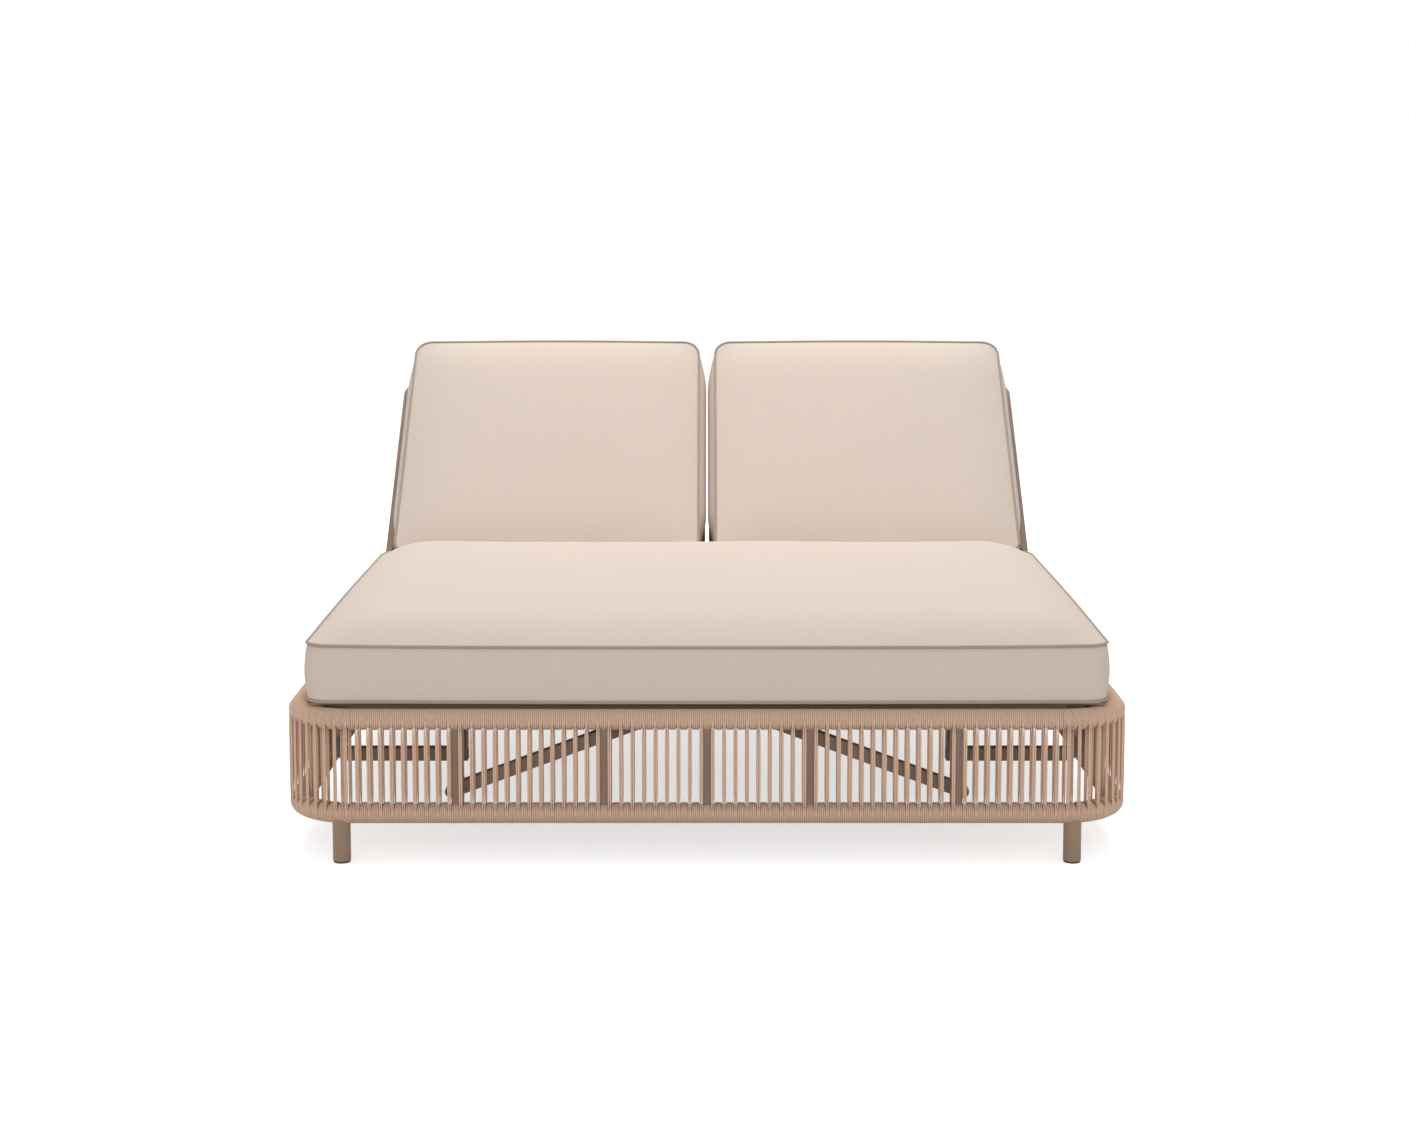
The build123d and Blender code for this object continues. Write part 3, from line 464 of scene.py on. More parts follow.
def place_piece(piece: bpy.types.Object, body: str, nodes: Sequence[str] = ()) -> None:
    """Makes a finished piece ride on its body and reports it.

    Args:
        piece: The finished mesh object.
        body: The CAD body that it rides on.
        nodes: The CAD nodes that it stands for.
    """
    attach(piece, body)
    if nodes:
        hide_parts(*nodes)
    log.info("%s: %d faces on %s", piece.name, len(piece.data.polygons), body)


def new_piece(name: str, points: Iterable, edges: Iterable = (), faces: Iterable = ()) -> bpy.types.Object:
    """Links a new mesh object at the origin.

    Args:
        name: The piece's name.
        points: Its vertices.
        edges: Its loose edges.
        faces: Its faces.

    Returns:
        The object.
    """
    mesh = bpy.data.meshes.new(name)
    mesh.from_pydata(list(points), list(edges), list(faces))
    piece = bpy.data.objects.new(name, mesh)
    bpy.context.scene.collection.objects.link(piece)
    return piece


def bake_modifiers(piece: bpy.types.Object) -> None:
    """Turns a piece's modifiers into its plain mesh and removes them.

    Args:
        piece: The object to make plain.
    """
    graph = bpy.context.evaluated_depsgraph_get()
    mesh = bpy.data.meshes.new_from_object(piece.evaluated_get(graph))
    piece.modifiers.clear()
    old = piece.data
    piece.data = mesh
    mesh.name = piece.name
    bpy.data.meshes.remove(old)


def vertex_array(mesh: bpy.types.Mesh) -> np.ndarray:
    """A mesh's vertices as an array."""
    points = np.empty(len(mesh.vertices) * 3)
    mesh.vertices.foreach_get("co", points)
    return points.reshape(-1, 3)


def grow(piece: bpy.types.Object, tree: bpy.types.NodeTree, **values: Any) -> None:
    """Runs a Geometry Nodes tree on a piece and keeps the result as its mesh.

    Args:
        piece: The object whose mesh is the tree's input.
        tree: The Geometry Nodes tree.
        **values: A value for each of the tree's inputs, with its spaces as underscores.
    """
    modifier = piece.modifiers.new(tree.name, "NODES")
    modifier.node_group = tree
    for item in tree.interface.items_tree:
        label = item.name.replace(" ", "_").lower()
        if item.in_out == "INPUT" and label in values:
            modifier[item.identifier] = values.pop(label)
    assert not values, f"{tree.name} has no input for {sorted(values)}"
    bake_modifiers(piece)


@dataclass
class RopeWork:
    """The rope of the base: turns round both rails, and pairs of rope between them, outside and inside."""

    finish: bpy.types.Material
    half_width: float = 0.809
    half_length: float = 0.979
    bend: float = 0.121
    lower: float = 0.098
    upper: float = 0.283
    bed: float = 0.019
    rope: float = 0.00185
    turns_per_pair: int = 6
    pairs_across: int = 62
    pairs_along: int = 78
    pairs_round: int = 10
    arc_steps: int = 48
    tree: bpy.types.NodeTree = field(init=False)
    samples_per_turn = 5
    pull_reach = 0.30
    notch_height = 2.8
    notch_shade = 0.9
    bunching = 0.8
    opening = 0.015

    def __post_init__(self) -> None:
        """Builds the rope's tree."""
        self.tree = self.make_tree()

    def make_tree(self) -> bpy.types.NodeTree:
        """Builds the tree that winds and strings one stretch of the base.

        Its input mesh is the rails' centreline on the ground.

        Returns:
            The Geometry Nodes tree.
        """
        takes = {"Geometry": "Geometry", "Pairs": "Int", "Turns per Pair": "Int", "Finish": "Material"}
        takes |= dict.fromkeys(("Lower Height", "Upper Height", "Bed Radius", "Rope Radius"), "Float")
        graph = new_group("rope_work", "GeometryNodeTree", takes, {"Geometry": "Geometry"})
        path = graph.shape("MeshToCurve", {"Mesh": graph.enter["Geometry"]})
        turns = graph.math("MULTIPLY", graph.enter["Pairs"], graph.enter["Turns per Pair"])
        parts = [
            self.winding(graph, path, graph.enter["Lower Height"], turns, -1.0),
            self.winding(graph, path, graph.enter["Upper Height"], turns, 1.0),
            self.strands(graph, path),
        ]
        return graph.give_mesh(graph.join(parts))

    @staticmethod
    def winding(graph: Graph, path: Any, height: Any, turns: Any, facing: float) -> bpy.types.NodeSocket:
        """Winds one rail: a sleeve whose radius rises and falls once for each turn of rope.

        Towards the other rail the turns lie closer to the tube beside each pair, in a notch with painted
        shade, so that their edge is scalloped.

        Args:
            graph: The tree's graph.
            path: The rail's line on the ground.
            height: The rail's height.
            turns: How many turns it has.
            facing: 1 where the other rail lies below, -1 where it lies above.

        Returns:
            The sleeve's geometry socket.
        """
        samples = float(RopeWork.samples_per_turn)
        moved = graph.shape("Transform", {"Geometry": path, "Translation": graph.combine(0.0, 0.0, height)})
        count = graph.math("ADD", graph.math("MULTIPLY", turns, samples), 1.0)
        fine = graph.shape("ResampleCurve", {"Curve": moved, "Count": count}, mode="COUNT")
        index = graph.shape("InputIndex")
        phase = graph.math("DIVIDE", graph.math("MODULO", index, samples), samples)
        side = graph.math("SUBTRACT", graph.math("MULTIPLY", phase, 2.0), 1.0)
        lift = graph.math("SQRT", graph.math("SUBTRACT", 1.0, graph.math("MULTIPLY", side, side)))
        rope, per_pair = graph.enter["Rope Radius"], graph.enter["Turns per Pair"]
        radius = graph.math("ADD", graph.enter["Bed Radius"], graph.math("MULTIPLY", lift, rope))
        turn = graph.math("DIVIDE", index, samples)
        group = graph.math("DIVIDE", graph.math("MODULO", turn, per_pair), per_pair)
        apart = graph.math("ABSOLUTE", graph.math("SUBTRACT", group, 0.5))
        pull = graph.ease(apart, RopeWork.pull_reach, 1.0, 0.0)
        # The crest mark is the turn's rise; the rope's colour follows it as painted light and shade.
        sleeve = graph.tube(graph.mark(graph.mark(fine, "crest", lift), "pull", pull), radius, 16)
        place = graph.node("ShaderNodeSeparateXYZ", {0: graph.shape("InputPosition")}).outputs
        drop = graph.math("MULTIPLY", graph.math("SUBTRACT", height, place[2]), facing)
        below = graph.math("MAXIMUM", graph.math("DIVIDE", drop, graph.enter["Bed Radius"]), 0.0)
        pulled, crest = (
            graph.shape("InputNamedAttribute", {"Name": name}, data_type="FLOAT")
            for name in ("pull", "crest")
        )
        notch = graph.math("MULTIPLY", below, pulled)
        rise = graph.math("MULTIPLY", notch, graph.math("MULTIPLY", rope, RopeWork.notch_height * facing))
        # Painted shade: the notch darkens the crest mark.
        dark = graph.math("MULTIPLY", notch, RopeWork.notch_shade)
        shaded = graph.math("MULTIPLY", crest, graph.math("SUBTRACT", 1.0, dark))
        darkened = graph.mark(sleeve, "crest", shaded)
        return graph.shape("SetPosition", {"Geometry": darkened, "Offset": graph.combine(0.0, 0.0, rise)})

    @staticmethod
    def strands(graph: Graph, path: Any) -> bpy.types.NodeSocket:
        """Strings the pairs of rope between the rails, outside and inside.

        Each rope comes out of the winding in a point and stands straight between the rails.

        Args:
            graph: The tree's graph.
            path: The rails' line on the ground.

        Returns:
            The strands' geometry socket.
        """
        low, high = graph.enter["Lower Height"], graph.enter["Upper Height"]
        rope, bed = graph.enter["Rope Radius"], graph.enter["Bed Radius"]
        line = graph.shape("CurvePrimitiveLine", {"End": (0.0, 0.0, 1.0)}, mode="POINTS")
        fine = graph.shape("ResampleCurve", {"Curve": line, "Count": 11}, mode="COUNT")
        share = graph.node("GeometryNodeSplineParameter").outputs["Factor"]
        swing = graph.math("SINE", graph.math("MULTIPLY", share, 2.0 * math.pi))
        bunched = graph.math("MULTIPLY", swing, RopeWork.bunching / (2.0 * math.pi))
        span = graph.math("SUBTRACT", high, low)
        rise = graph.math("MULTIPLY", graph.math("SUBTRACT", share, bunched), span)
        near = graph.math("MINIMUM", rise, graph.math("SUBTRACT", span, rise))
        opened = graph.ease(near, RopeWork.opening, 0.0, 1.0)
        gap, thick = (graph.math("MULTIPLY", rope, graph.spread(opened, least, 1.0)) for least in (0.3, 0.6))
        pair = []
        for side in (-1.0, 1.0):
            beside, out = graph.math("MULTIPLY", gap, side), graph.math("MULTIPLY", bed, -1.0)
            spot = graph.combine(beside, out, graph.math("ADD", rise, low))
            placed = graph.shape("SetPosition", {"Geometry": fine, "Position": spot})
            pair.append(graph.tube(placed, thick, 8))
        # The pairs are marked as all crest, so the rope's painted groove shade stays off them.
        whole = graph.mark(graph.join(pair), "crest", 1.0)
        other = graph.shape("Transform", {"Geometry": whole, "Rotation": (0.0, 0.0, math.pi)})
        both = graph.join((whole, other))
        middle = graph.math("DIVIDE", graph.math("ADD", graph.shape("InputIndex"), 0.5), graph.enter["Pairs"])
        taken = {"Curves": path, "Factor": middle}
        sampled = graph.node("GeometryNodeSampleCurve", taken, mode="FACTOR").outputs
        spots = graph.shape("Points", {"Count": graph.enter["Pairs"]})
        set_out = graph.shape("SetPosition", {"Geometry": spots, "Position": sampled["Position"]})
        along = {"Vector": sampled["Tangent"]}
        turned = graph.first("FunctionNodeAlignRotationToVector", along, axis="X", pivot_axis="Z")
        return graph.shape("InstanceOnPoints", {"Points": set_out, "Instance": both, "Rotation": turned})

    def straight(self, side: str) -> tuple[list[Point], int]:
        """The line and the pairs of one straight side.

        Args:
            side: The side's name.

        Returns:
            The rails' line on the ground, and how many pairs stand along it.
        """
        across, along = self.half_width - self.bend, self.half_length - self.bend
        ends = {
            "front": ((-across, -self.half_length), (across, -self.half_length)),
            "rear": ((across, self.half_length), (-across, self.half_length)),
            "left": ((-self.half_width, along), (-self.half_width, -along)),
            "right": ((self.half_width, -along), (self.half_width, along)),
        }[side]
        pairs = self.pairs_across if side in ("front", "rear") else self.pairs_along
        return [(x, y, 0.0) for x, y in ends], pairs

    def corner(self, x_side: int, y_side: int) -> tuple[list[Point], int]:
        """The line and the pairs of one corner.

        Args:
            x_side: 1 for the right, -1 for the left.
            y_side: 1 for the rear, -1 for the front.

        Returns:
            The rails' line on the ground, and how many pairs stand along it.
        """
        x, y = x_side * (self.half_width - self.bend), y_side * (self.half_length - self.bend)
        start = {(1, -1): -0.5, (1, 1): 0.0, (-1, 1): 0.5, (-1, -1): 1.0}[x_side, y_side] * math.pi
        turns = [start + math.pi / 2 * step / self.arc_steps for step in range(self.arc_steps + 1)]
        ring = [(x + self.bend * math.cos(t), y + self.bend * math.sin(t), 0.0) for t in turns]
        return ring, self.pairs_round

    def build(self) -> None:
        """Makes the eight rope pieces."""
        sides = ("front", "rear", "left", "right")
        stretches = {side: (f"rope_panel_{side}", self.straight(side)) for side in sides}
        for y_name, y_side in (("front", -1), ("rear", 1)):
            for x_name, x_side in (("left", -1), ("right", 1)):
                name = f"{y_name}_{x_name}"
                stretches[name] = (f"rope_corner_{name}", self.corner(x_side, y_side))
        for name, (node, (line, pairs)) in stretches.items():
            piece = new_piece(f"rope_work_{name}", line, [(i, i + 1) for i in range(len(line) - 1)])
            grow(
                piece,
                self.tree,
                pairs=pairs,
                turns_per_pair=self.turns_per_pair,
                lower_height=self.lower,
                upper_height=self.upper,
                bed_radius=self.bed,
                rope_radius=self.rope,
                finish=self.finish,
            )
            place_piece(piece, "base", [node])


@dataclass
class Cushion:
    """A boxed foam cushion: a crowned top, bulged sides, a flat underside and piping on both seams.

    It is made in its own plane, with z off its underside, and then put in its place.
    """

    name: str
    node: str
    body: str
    across: tuple[float, float]
    along: tuple[float, float]
    base: float
    seam: float
    crown: float
    place: Matrix
    cloth: bpy.types.Material
    piping: bpy.types.Material
    bulge: float
    side_bulge: float
    bow: tuple[float, float]
    corner: float = 0.042
    foot: float = 0.0045
    lift: float = 0.003
    reach: float = 0.150
    cell: float = 0.020
    rows: int = 8
    puff_top: float = 0.026
    puff_side: float = 0.004
    piping_radius: float = 0.0027
    uv_name = "cloth"
    corner_shares = (0.0, 0.14, 0.36, 0.58, 0.79, 1.0)
    start_crown = 0.55
    steepness = 2.6
    slack = 0.3
    plain_bulge = 0.6
    swell_rise = (0.06, 0.10)
    swell_fall = (0.008, 0.12)

    def lines(self, low: float, high: float) -> np.ndarray:
        """Grid lines from edge to edge: close together at the rounded corners, even between them.

        Args:
            low: The low edge.
            high: The high edge.

        Returns:
            The lines' places.
        """
        edge = np.array(self.corner_shares) * self.corner
        count = max(2, round((high - low - 2 * self.corner) / self.cell))
        middle = np.linspace(low + self.corner, high - self.corner, count + 1)[1:-1]
        return np.concatenate([low + edge, middle, high - edge[::-1]])

    def rounded(self, x: np.ndarray, y: np.ndarray) -> tuple[np.ndarray, np.ndarray]:
        """Bends a rectangle's grid into one with round corners and bowed edges.

        The seat's rear edge stays straight.

        Args:
            x: The points' places across.
            y: The points' places along.

        Returns:
            The same points with their corners rounded.
        """
        inner = [(low + self.corner, high - self.corner) for low, high in (self.across, self.along)]
        core_x, core_y = np.clip(x, *inner[0]), np.clip(y, *inner[1])
        a, b = (x - core_x) / self.corner, (y - core_y) / self.corner
        out_x = core_x + self.corner * a * np.sqrt(1 - b * b / 2)
        out_y = core_y + self.corner * b * np.sqrt(1 - a * a / 2)
        from_x, from_y = self.shares(out_x, out_y)
        front = np.minimum(from_y, 0) if self.body == "base" else from_y
        bow_x = self.bow[0] * from_x * (1 - from_y**2)
        bow_y = self.bow[1] * front * (1 - from_x**2)
        return out_x + bow_x, out_y + bow_y

    def shares(self, x: np.ndarray, y: np.ndarray) -> tuple[np.ndarray, np.ndarray]:
        """Places across and along as shares of the cushion's half width and length, from -1 to 1."""
        pairs = ((x, self.across), (y, self.along))
        return tuple((2 * v - low - high) / (high - low) for v, (low, high) in pairs)

    def side_swell(self, edge: np.ndarray, out: np.ndarray) -> np.ndarray:
        """How far the boxing of the long sides stands out more than the rest.

        Args:
            edge: The seam's points, across and along.
            out: The seam's outward directions.

        Returns:
            The extra distance at each point of the seam.
        """
        rise = np.clip((edge[:, 1] - self.along[0] - self.swell_rise[0]) / self.swell_rise[1], 0, 1)
        fall = np.clip((self.along[1] - edge[:, 1] - self.swell_fall[0]) / self.swell_fall[1], 0, 1)
        eased = [share * share * (3 - 2 * share) for share in (rise, fall)]
        return self.side_bulge * eased[0] * np.sqrt(eased[1]) * np.abs(out[:, 0])

    def swell(self, x: np.ndarray, y: np.ndarray) -> np.ndarray:
        """How far the top has risen at points of its rectangle, from 0 at its edge to 1."""
        shares = [
            1 - (1 - np.clip(np.minimum(v - low, high - v) / self.reach, 0, 1)) ** self.steepness
            for v, (low, high) in ((x, self.across), (y, self.along))
        ]
        return shares[0] * shares[1]

    def start(self) -> bpy.types.Object:
        """Makes the cushion's cut shape, before it swells.

        Returns:
            The object, still in its own plane.
        """
        xs, ys = self.lines(*self.across), self.lines(*self.along)
        nx, ny = len(xs), len(ys)
        flat_x, flat_y = (v.ravel() for v in np.meshgrid(xs, ys, indexing="ij"))
        x, y = self.rounded(flat_x, flat_y)
        from_x, from_y = self.shares(flat_x, flat_y)
        seam = self.seam + self.lift * (from_x * from_y) ** 6
        self.full = seam + self.crown * self.swell(flat_x, flat_y)
        top = np.stack([x, y, seam + self.start_crown * (self.full - seam)], 1)
        index = np.arange(nx * ny).reshape(nx, ny)
        ring = np.concatenate([index[:, 0], index[-1, 1:], index[-2::-1, -1], index[0, -2:0:-1]])
        inner = np.stack(
            [
                np.clip(v[ring], low + self.corner, high - self.corner)
                for v, (low, high) in ((x, self.across), (y, self.along))
            ],
            1,
        )
        edge = top[ring, :2]
        out = edge - inner
        out /= np.linalg.norm(out, axis=1)[:, None]
        extra = self.side_swell(edge, out)
        points, loops = [top], [ring]
        low_seam = self.base + self.foot
        for row in range(1, self.rows + 1):
            share = row / self.rows
            stand = (self.plain_bulge * self.bulge + extra) * math.sin(math.pi * share)
            height = top[ring, 2] - (top[ring, 2] - low_seam) * share
            loops.append(nx * ny + (row - 1) * len(ring) + np.arange(len(ring)))
            points.append(np.column_stack([edge + out * stand[:, None], height]))
        under = top.copy()
        under[:, 2] = self.base
        inside = index[1:-1, 1:-1].ravel()
        under_index = np.empty(nx * ny, int)
        under_index[ring] = loops[-1]
        under_index[inside] = sum(len(p) for p in points) + np.arange(len(inside))
        points.append(under[inside])
        under_index = under_index.reshape(nx, ny)
        faces = [self.quads(index), self.quads(under_index)[:, ::-1]]
        for upper, lower in zip(loops, loops[1:]):
            faces.append(np.stack([upper, lower, np.roll(lower, -1), np.roll(upper, -1)], 1))
        piece = new_piece(self.name, np.concatenate(points).tolist(), (), np.concatenate(faces).tolist())
        self.top_count = nx * ny
        self.seams = (loops[0], loops[-1])
        self.outward = out
        held = piece.vertex_groups.new(name="held")
        pinned = np.concatenate([loops[0], under_index.ravel()])
        held.add(np.unique(pinned).tolist(), 1.0, "REPLACE")
        return piece

    @staticmethod
    def quads(index: np.ndarray) -> np.ndarray:
        """The faces of a grid of vertices, seen from above."""
        corners = (index[:-1, :-1], index[1:, :-1], index[1:, 1:], index[:-1, 1:])
        return np.stack([c.ravel() for c in corners], 1)

    def add_cloth(self, piece: bpy.types.Object) -> None:
        """Gives the cut shape a Cloth modifier that lets it swell between its seams.

        Args:
            piece: The cushion's object.
        """
        cloth = piece.modifiers.new("swell", "CLOTH")
        settings = cloth.settings
        settings.quality = 5
        settings.mass = 0.4
        settings.tension_stiffness = settings.compression_stiffness = 25
        settings.shear_stiffness = 12
        settings.bending_stiffness = 3
        settings.use_pressure = True
        settings.uniform_pressure_force = 4
        settings.vertex_group_mass = "held"
        settings.effector_weights.gravity = 0
        cloth.point_cache.frame_start, cloth.point_cache.frame_end = 1, ClothRun.frames

    def settle(self, piece: bpy.types.Object, start: np.ndarray, moved: np.ndarray) -> None:
        """Keeps the swelling within a cushion's real fullness, and gives the top its full crown.

        Args:
            piece: The cushion's object.
            start: The cut shape's vertices.
            moved: The swollen vertices.
        """
        shift = moved - start
        length = np.linalg.norm(shift, axis=1)
        cap = np.full(len(start), self.puff_side)
        cap[: self.top_count] = self.puff_top
        shift *= (cap * np.tanh(length / cap) / np.maximum(length, 1e-9))[:, None]
        top = slice(0, self.top_count)
        final = start + shift
        puffed = final[top, 2] - start[top, 2].min()
        puffed = start[top, 2].min() + puffed * self.crown / puffed.max()
        final[top, 2] = self.full + self.slack * (puffed - self.full) * (length.max() > 0)
        final[top, 2] += self.ripples(final[top])
        piece.data.vertices.foreach_set("co", final.astype(np.float32).ravel())
        piece.data.update()

    def ripples(self, points: np.ndarray) -> np.ndarray:
        """Small unevenness of the cloth on the foam, gone at the seam.

        Args:
            points: The top's vertices.

        Returns:
            The height to add at each.
        """
        x, y = points[:, 0], points[:, 1]
        edges = [x - self.across[0], self.across[1] - x, y - self.along[0], self.along[1] - y]
        inset = np.minimum.reduce(edges)
        broad = np.sin(7.3 * x + 2.1 * y + 0.4) * np.sin(5.9 * y - 1.7 * x + 1.1)
        broad += 0.5 * np.sin(13.1 * x - 9.7 * y)
        gathers = np.sin(88.0 * x + 3.0 * np.sin(11.0 * y)) * np.sin(93.0 * y + 2.0 * np.sin(13.0 * x))
        edge = np.clip(inset / 0.010, 0, 1) * np.exp(-np.clip(inset, 0, None) / 0.028)
        return 0.0009 * broad * np.clip(inset / 0.12, 0, 1) + 0.0011 * gathers * edge

    def finish(self, piece: bpy.types.Object) -> None:
        """Smooths the cushion, lays its cloth, puts it in its place and adds its piping.

        Args:
            piece: The cushion's object.
        """
        sharp = set()
        for loop in self.seams:
            sharp.update(frozenset(pair) for pair in zip(loop.tolist(), np.roll(loop, -1).tolist()))
        crease = piece.data.attributes.new("crease_edge", "FLOAT", "EDGE")
        values = [0.75 if frozenset(edge.vertices) in sharp else 0.0 for edge in piece.data.edges]
        crease.data.foreach_set("value", values)
        lines = [self.seam_line(piece, number) for number in (0, 1)]
        # The seam mark is where the cloth's finish paints the shadow of the seams.
        seam = piece.data.attributes.new("seam", "FLOAT", "POINT")
        marks = np.zeros(len(piece.data.vertices), np.float32)
        marks[np.concatenate(self.seams)] = 1.0
        seam.data.foreach_set("value", marks)
        piece.vertex_groups.clear()
        smooth = piece.modifiers.new("smooth", "SUBSURF")
        smooth.levels = smooth.render_levels = 1
        bake_modifiers(piece)
        self.lay_cloth(piece.data)
        piece.data.transform(self.place)
        piece.data.polygons.foreach_set("use_smooth", [True] * len(piece.data.polygons))
        piece.data.materials.append(self.cloth)
        place_piece(piece, self.body, [self.node])
        self.add_piping(lines)

    def seam_line(self, piece: bpy.types.Object, number: int) -> np.ndarray:
        """The line that the piping of one seam follows, a little outside the seam.

        Args:
            piece: The cushion's object, in its own plane.
            number: 0 for the top seam, 1 for the bottom one.

        Returns:
            The line's points, closed.
        """
        loop = self.seams[number]
        points = vertex_array(piece.data)[loop]
        points[:, :2] += self.outward * 0.0012
        points[:, 2] += 0.0006 if number == 0 else 0.0008
        return points

    def lay_cloth(self, mesh: bpy.types.Mesh) -> None:
        """Writes the UV map that the weave follows, in metres, each panel laid flat.

        Args:
            mesh: The cushion's mesh, in its own plane.
        """
        corner = np.empty(len(mesh.loops), np.int32)
        mesh.loops.foreach_get("vertex_index", corner)
        points = vertex_array(mesh)[corner]
        normals = np.empty(len(mesh.polygons) * 3)
        mesh.polygons.foreach_get("normal", normals)
        totals = np.empty(len(mesh.polygons), np.int32)
        mesh.polygons.foreach_get("loop_total", totals)
        facing = np.repeat(np.abs(normals.reshape(-1, 3)).argmax(1), totals)
        flat = np.where((facing == 0)[:, None], points[:, [1, 2]], points[:, [0, 2]])
        flat = np.where((facing == 2)[:, None], points[:, [0, 1]], flat)
        layer = mesh.uv_layers.new(name=self.uv_name)
        layer.data.foreach_set("uv", flat.astype(np.float32).ravel())

    def add_piping(self, lines: Sequence[np.ndarray]) -> None:
        """Sews the piping along both seams.

        Args:
            lines: The closed line of each seam, in the cushion's own plane.
        """
        points, edges = [], []
        for line in lines:
            first = len(points)
            points += [self.place @ Vector(p) for p in line]
            edges += [(first + i, first + (i + 1) % len(line)) for i in range(len(line))]
        piece = new_piece(f"{self.name}_piping", points, edges)
        grow(piece, piping_tree(), radius=self.piping_radius, finish=self.piping)
        place_piece(piece, self.body)


def piping_tree() -> bpy.types.NodeTree:
    """The tree that turns a closed line into a round tube, made once.

    Returns:
        The Geometry Nodes tree.
    """
    name = "piping"
    if name in bpy.data.node_groups:
        return bpy.data.node_groups[name]
    takes = {"Geometry": "Geometry", "Radius": "Float", "Finish": "Material"}
    graph = new_group(name, "GeometryNodeTree", takes, {"Geometry": "Geometry"})
    line = graph.shape("MeshToCurve", {"Mesh": graph.enter["Geometry"]})
    eased = graph.shape("CurveSplineType", {"Curve": line}, spline_type="CATMULL_ROM")
    fine = graph.shape("ResampleCurve", {"Curve": eased, "Length": 0.006}, mode="LENGTH")
    return graph.give_mesh(graph.tube(fine, graph.enter["Radius"], 10, capped=False))


class ClothRun:
    """The one cloth simulation, in which all the cushions swell together."""

    frames = 20

    def __init__(self, cushions: Sequence[Cushion]) -> None:
        """Names the cushions.

        Args:
            cushions: The cushions to swell.
        """
        self.cushions = cushions

    def build(self) -> None:
        """Cuts, swells and finishes every cushion."""
        pieces = [cushion.start() for cushion in self.cushions]
        starts = [vertex_array(piece.data) for piece in pieces]
        ends = starts
        for cushion, piece in zip(self.cushions, pieces):
            cushion.add_cloth(piece)
        for number in range(1, self.frames + 1):
            bpy.context.scene.frame_set(number)
        graph = bpy.context.evaluated_depsgraph_get()
        ends = [vertex_array(piece.evaluated_get(graph).data) for piece in pieces]
        for piece in pieces:
            piece.modifiers.clear()
        bpy.context.scene.frame_set(1)
        for cushion, piece, start, end in zip(self.cushions, pieces, starts, ends):
            log.info("%s swelled by up to %.1f mm", cushion.name, 1000 * np.abs(end - start).max())
            cushion.settle(piece, start, end)
            cushion.finish(piece)


@dataclass
class SoftGoods:
    """The seat cushion and the two back cushions."""

    palette: Palette
    hinge: Point = (0.0, 0.262, 0.386)
    lean: float = math.radians(42)

    def cushions(self) -> list[Cushion]:
        """Describes the three cushions.

        Returns:
            The seat's cushion and the backs' two.
        """
        goods = (self.palette.slots[Slot.CUSHION], self.palette.piping)
        made = [
            Cushion(
                "seat_cover", "seat_cushion", "base", (-0.780, 0.780), (-0.970, 0.182), 0.310, 0.424, 0.055,
                Matrix(), *goods, bulge=0.011, side_bulge=0.0, bow=(0.005, 0.006),
            )
        ]
        leaning = Matrix.Translation(self.hinge) @ Matrix.Rotation(self.lean, 4, "X")
        for side, across in (("left", (-0.760, -0.022)), ("right", (0.022, 0.760))):
            made.append(
                Cushion(
                    f"{side}_back_cover", f"{side}_back_cushion", f"{side}_back", across, (-0.020, 0.690),
                    -0.0515, 0.062, 0.030, leaning, *goods, bulge=0.008, side_bulge=0.016, bow=(0.0, 0.006),
                )
            )
        return made

    def build(self) -> None:
        """Makes the three cushions."""
        ClothRun(self.cushions()).build()


@dataclass
class FrameDress:
    """The finishes of the CAD nodes that stay."""

    palette: Palette

    def build(self) -> None:
        """Gives every CAD node the finish of its slot."""
        for part in frame["record"]["subparts"]:
            node = frame["nodes"][part["node"]]
            material = self.palette.slots[Slot(part["material_slot"])]
            if not node.material_slots:
                node.data.materials.append(material)
            for holder in node.material_slots:
                holder.material = material
        log.info("dressed %d CAD nodes", len(frame["nodes"]))


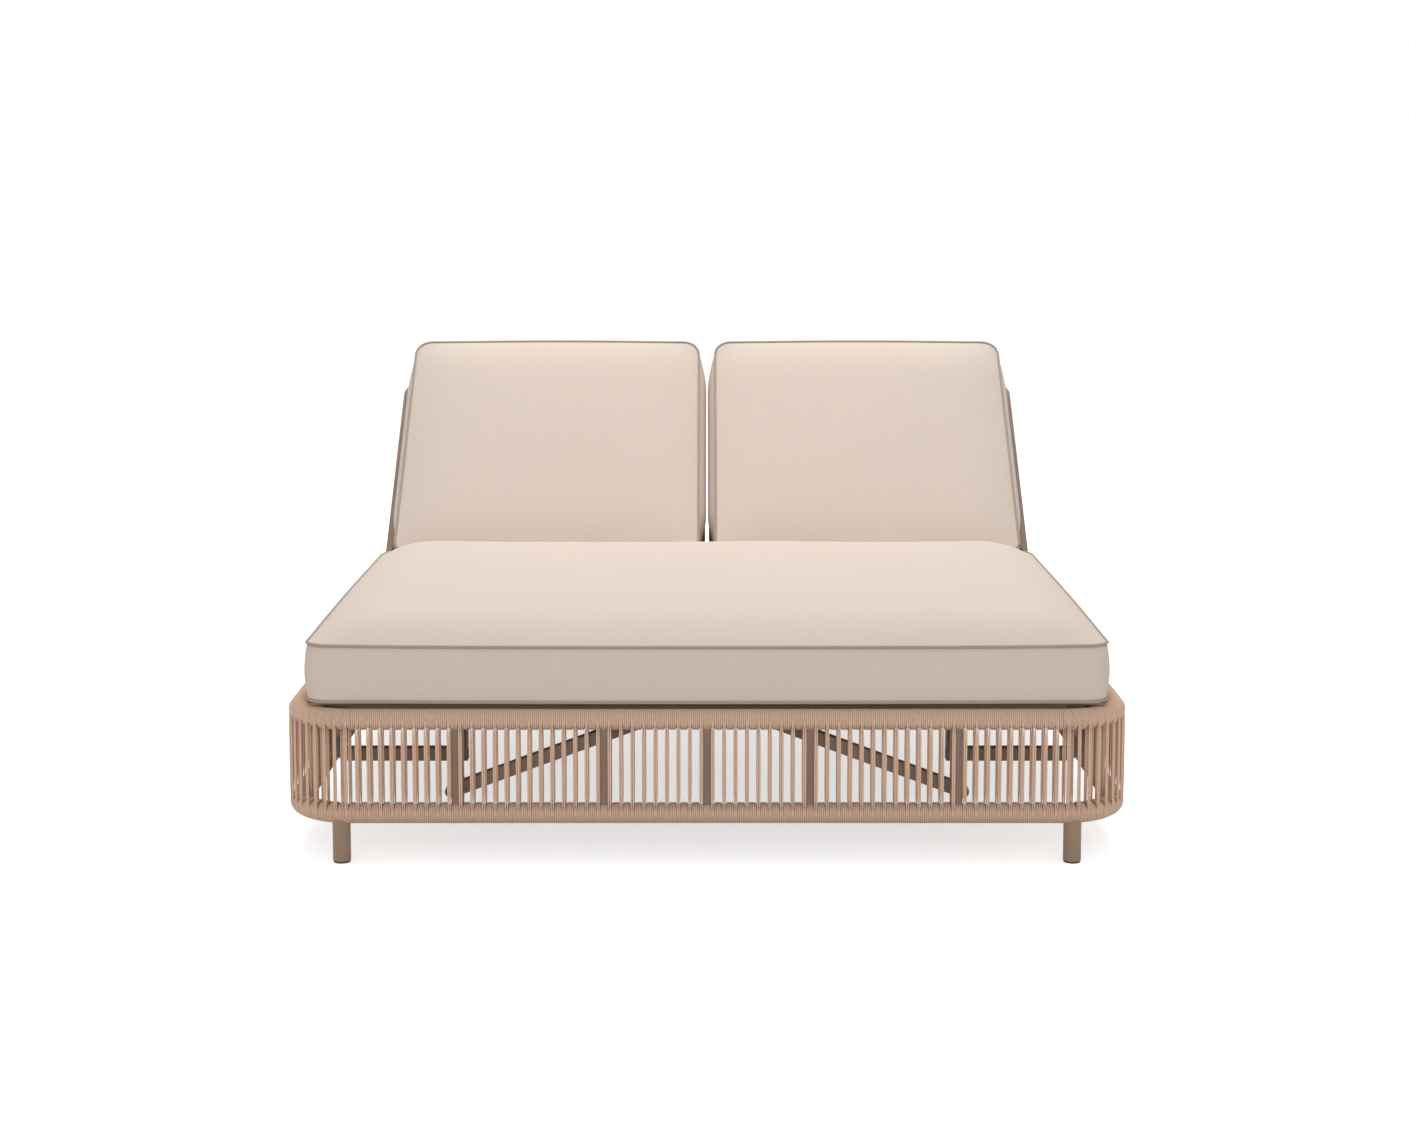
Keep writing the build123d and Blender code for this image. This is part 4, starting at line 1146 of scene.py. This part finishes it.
@dataclass
class Studio:
    """A pale floor, soft light and the photograph's camera."""

    camera_place: Point = (0.0, -5.4858, 1.3250)
    camera_pitch: float = 6.327
    lens: float = 60.58
    shift: tuple[float, float] = (-2.5 / IMAGE_WIDTH, -0.09)
    sky: float = 0.52
    floor_tone: float = 0.85
    floor_glow: float = 0.65
    floor_size: float = 60.0

    @staticmethod
    def split_rays(graph: Graph, plain: Any, white: Any) -> bpy.types.NodeSocket:
        """Mixes two shaders: white for camera, glossy and transmission rays, and plain for the rest."""
        rays = graph.node("ShaderNodeLightPath").outputs
        some = graph.math("MAXIMUM", rays["Is Camera Ray"], rays["Is Glossy Ray"])
        seen = graph.math("MAXIMUM", some, rays["Is Transmission Ray"])
        return graph.first("ShaderNodeMixShader", {0: seen, 1: plain, 2: white})

    def make_floor(self) -> None:
        """Lays the floor. It looks white and keeps the lounger's shadow."""
        half = self.floor_size / 2
        corners = [(-half, -half, 0.0), (half, -half, 0.0), (half, half, 0.0), (-half, half, 0.0)]
        floor = new_piece("studio_floor", corners, (), [(0, 1, 2, 3)])
        material = bpy.data.materials.new("pale_floor")
        graph = Graph(empty_tree(material))
        plain = graph.first("ShaderNodeBsdfDiffuse", {"Color": (0.8, 0.8, 0.8, 1.0)})
        shaded = graph.first("ShaderNodeBsdfDiffuse", {"Color": (self.floor_tone,) * 3 + (1.0,)})
        inputs = {"Color": (1.0, 1.0, 1.0, 1.0), "Strength": self.floor_glow}
        white = graph.first("ShaderNodeAddShader", {0: shaded, 1: graph.first("ShaderNodeEmission", inputs)})
        graph.node("ShaderNodeOutputMaterial", {"Surface": self.split_rays(graph, plain, white)})
        floor.data.materials.append(material)

    def make_world(self) -> None:
        """Makes the even light from all sides, which the camera sees as white."""
        world = bpy.data.worlds.new("soft_white")
        bpy.context.scene.world = world
        graph = Graph(empty_tree(world))
        light, white = (
            graph.first("ShaderNodeBackground", {"Color": (1.0, 1.0, 1.0, 1.0), "Strength": strength})
            for strength in (self.sky, 1.0)
        )
        graph.node("ShaderNodeOutputWorld", {"Surface": self.split_rays(graph, light, white)})

    @staticmethod
    def make_lamp(name: str, place: Point, target: Point, size: tuple[float, float], power: float) -> None:
        """Hangs a soft rectangular lamp.

        Args:
            name: The lamp's name.
            place: Where it hangs.
            target: What it points at.
            size: Its width and height.
            power: Its power in watts.
        """
        data = bpy.data.lights.new(name, "AREA")
        data.shape = "RECTANGLE"
        data.size, data.size_y = size
        data.energy = power
        lamp = bpy.data.objects.new(name, data)
        lamp.location = place
        lamp.rotation_euler = (Vector(target) - Vector(place)).to_track_quat("-Z", "Y").to_euler()
        bpy.context.scene.collection.objects.link(lamp)

    def make_camera(self) -> None:
        """Sets up the photograph's camera."""
        data = bpy.data.cameras.new("photo_camera")
        data.sensor_fit = "HORIZONTAL"
        data.sensor_width = 36.0
        data.lens = self.lens
        data.shift_x, data.shift_y = self.shift
        data.clip_end = 200.0
        camera = bpy.data.objects.new("photo_camera", data)
        camera.location = self.camera_place
        camera.rotation_euler = (math.radians(90.0 - self.camera_pitch), 0.0, 0.0)
        bpy.context.scene.collection.objects.link(camera)
        bpy.context.scene.camera = camera

    def build(self) -> None:
        """Sets up the studio."""
        bpy.context.scene.view_settings.view_transform = "Standard"
        self.make_floor()
        self.make_world()
        self.make_camera()
        self.make_lamp("overhead_lamp", (0.0, 1.65, 4.2), (0.0, 0.0, 0.3), (4.0, 3.6), 121.0)
        self.make_lamp("front_lamp", (0.0, -5.5, 2.6), (0.0, 0.0, 0.5), (4.0, 2.0), 46.0)


def main() -> None:
    """Builds the lounger's looks in order."""
    logging.basicConfig(level=logging.INFO, format="%(name)s: %(message)s")
    palette = Palette()
    Studio().build()
    FrameDress(palette).build()
    RopeWork(palette.slots[Slot.ROPE]).build()
    SoftGoods(palette).build()


if __name__ == "__main__":
    main()
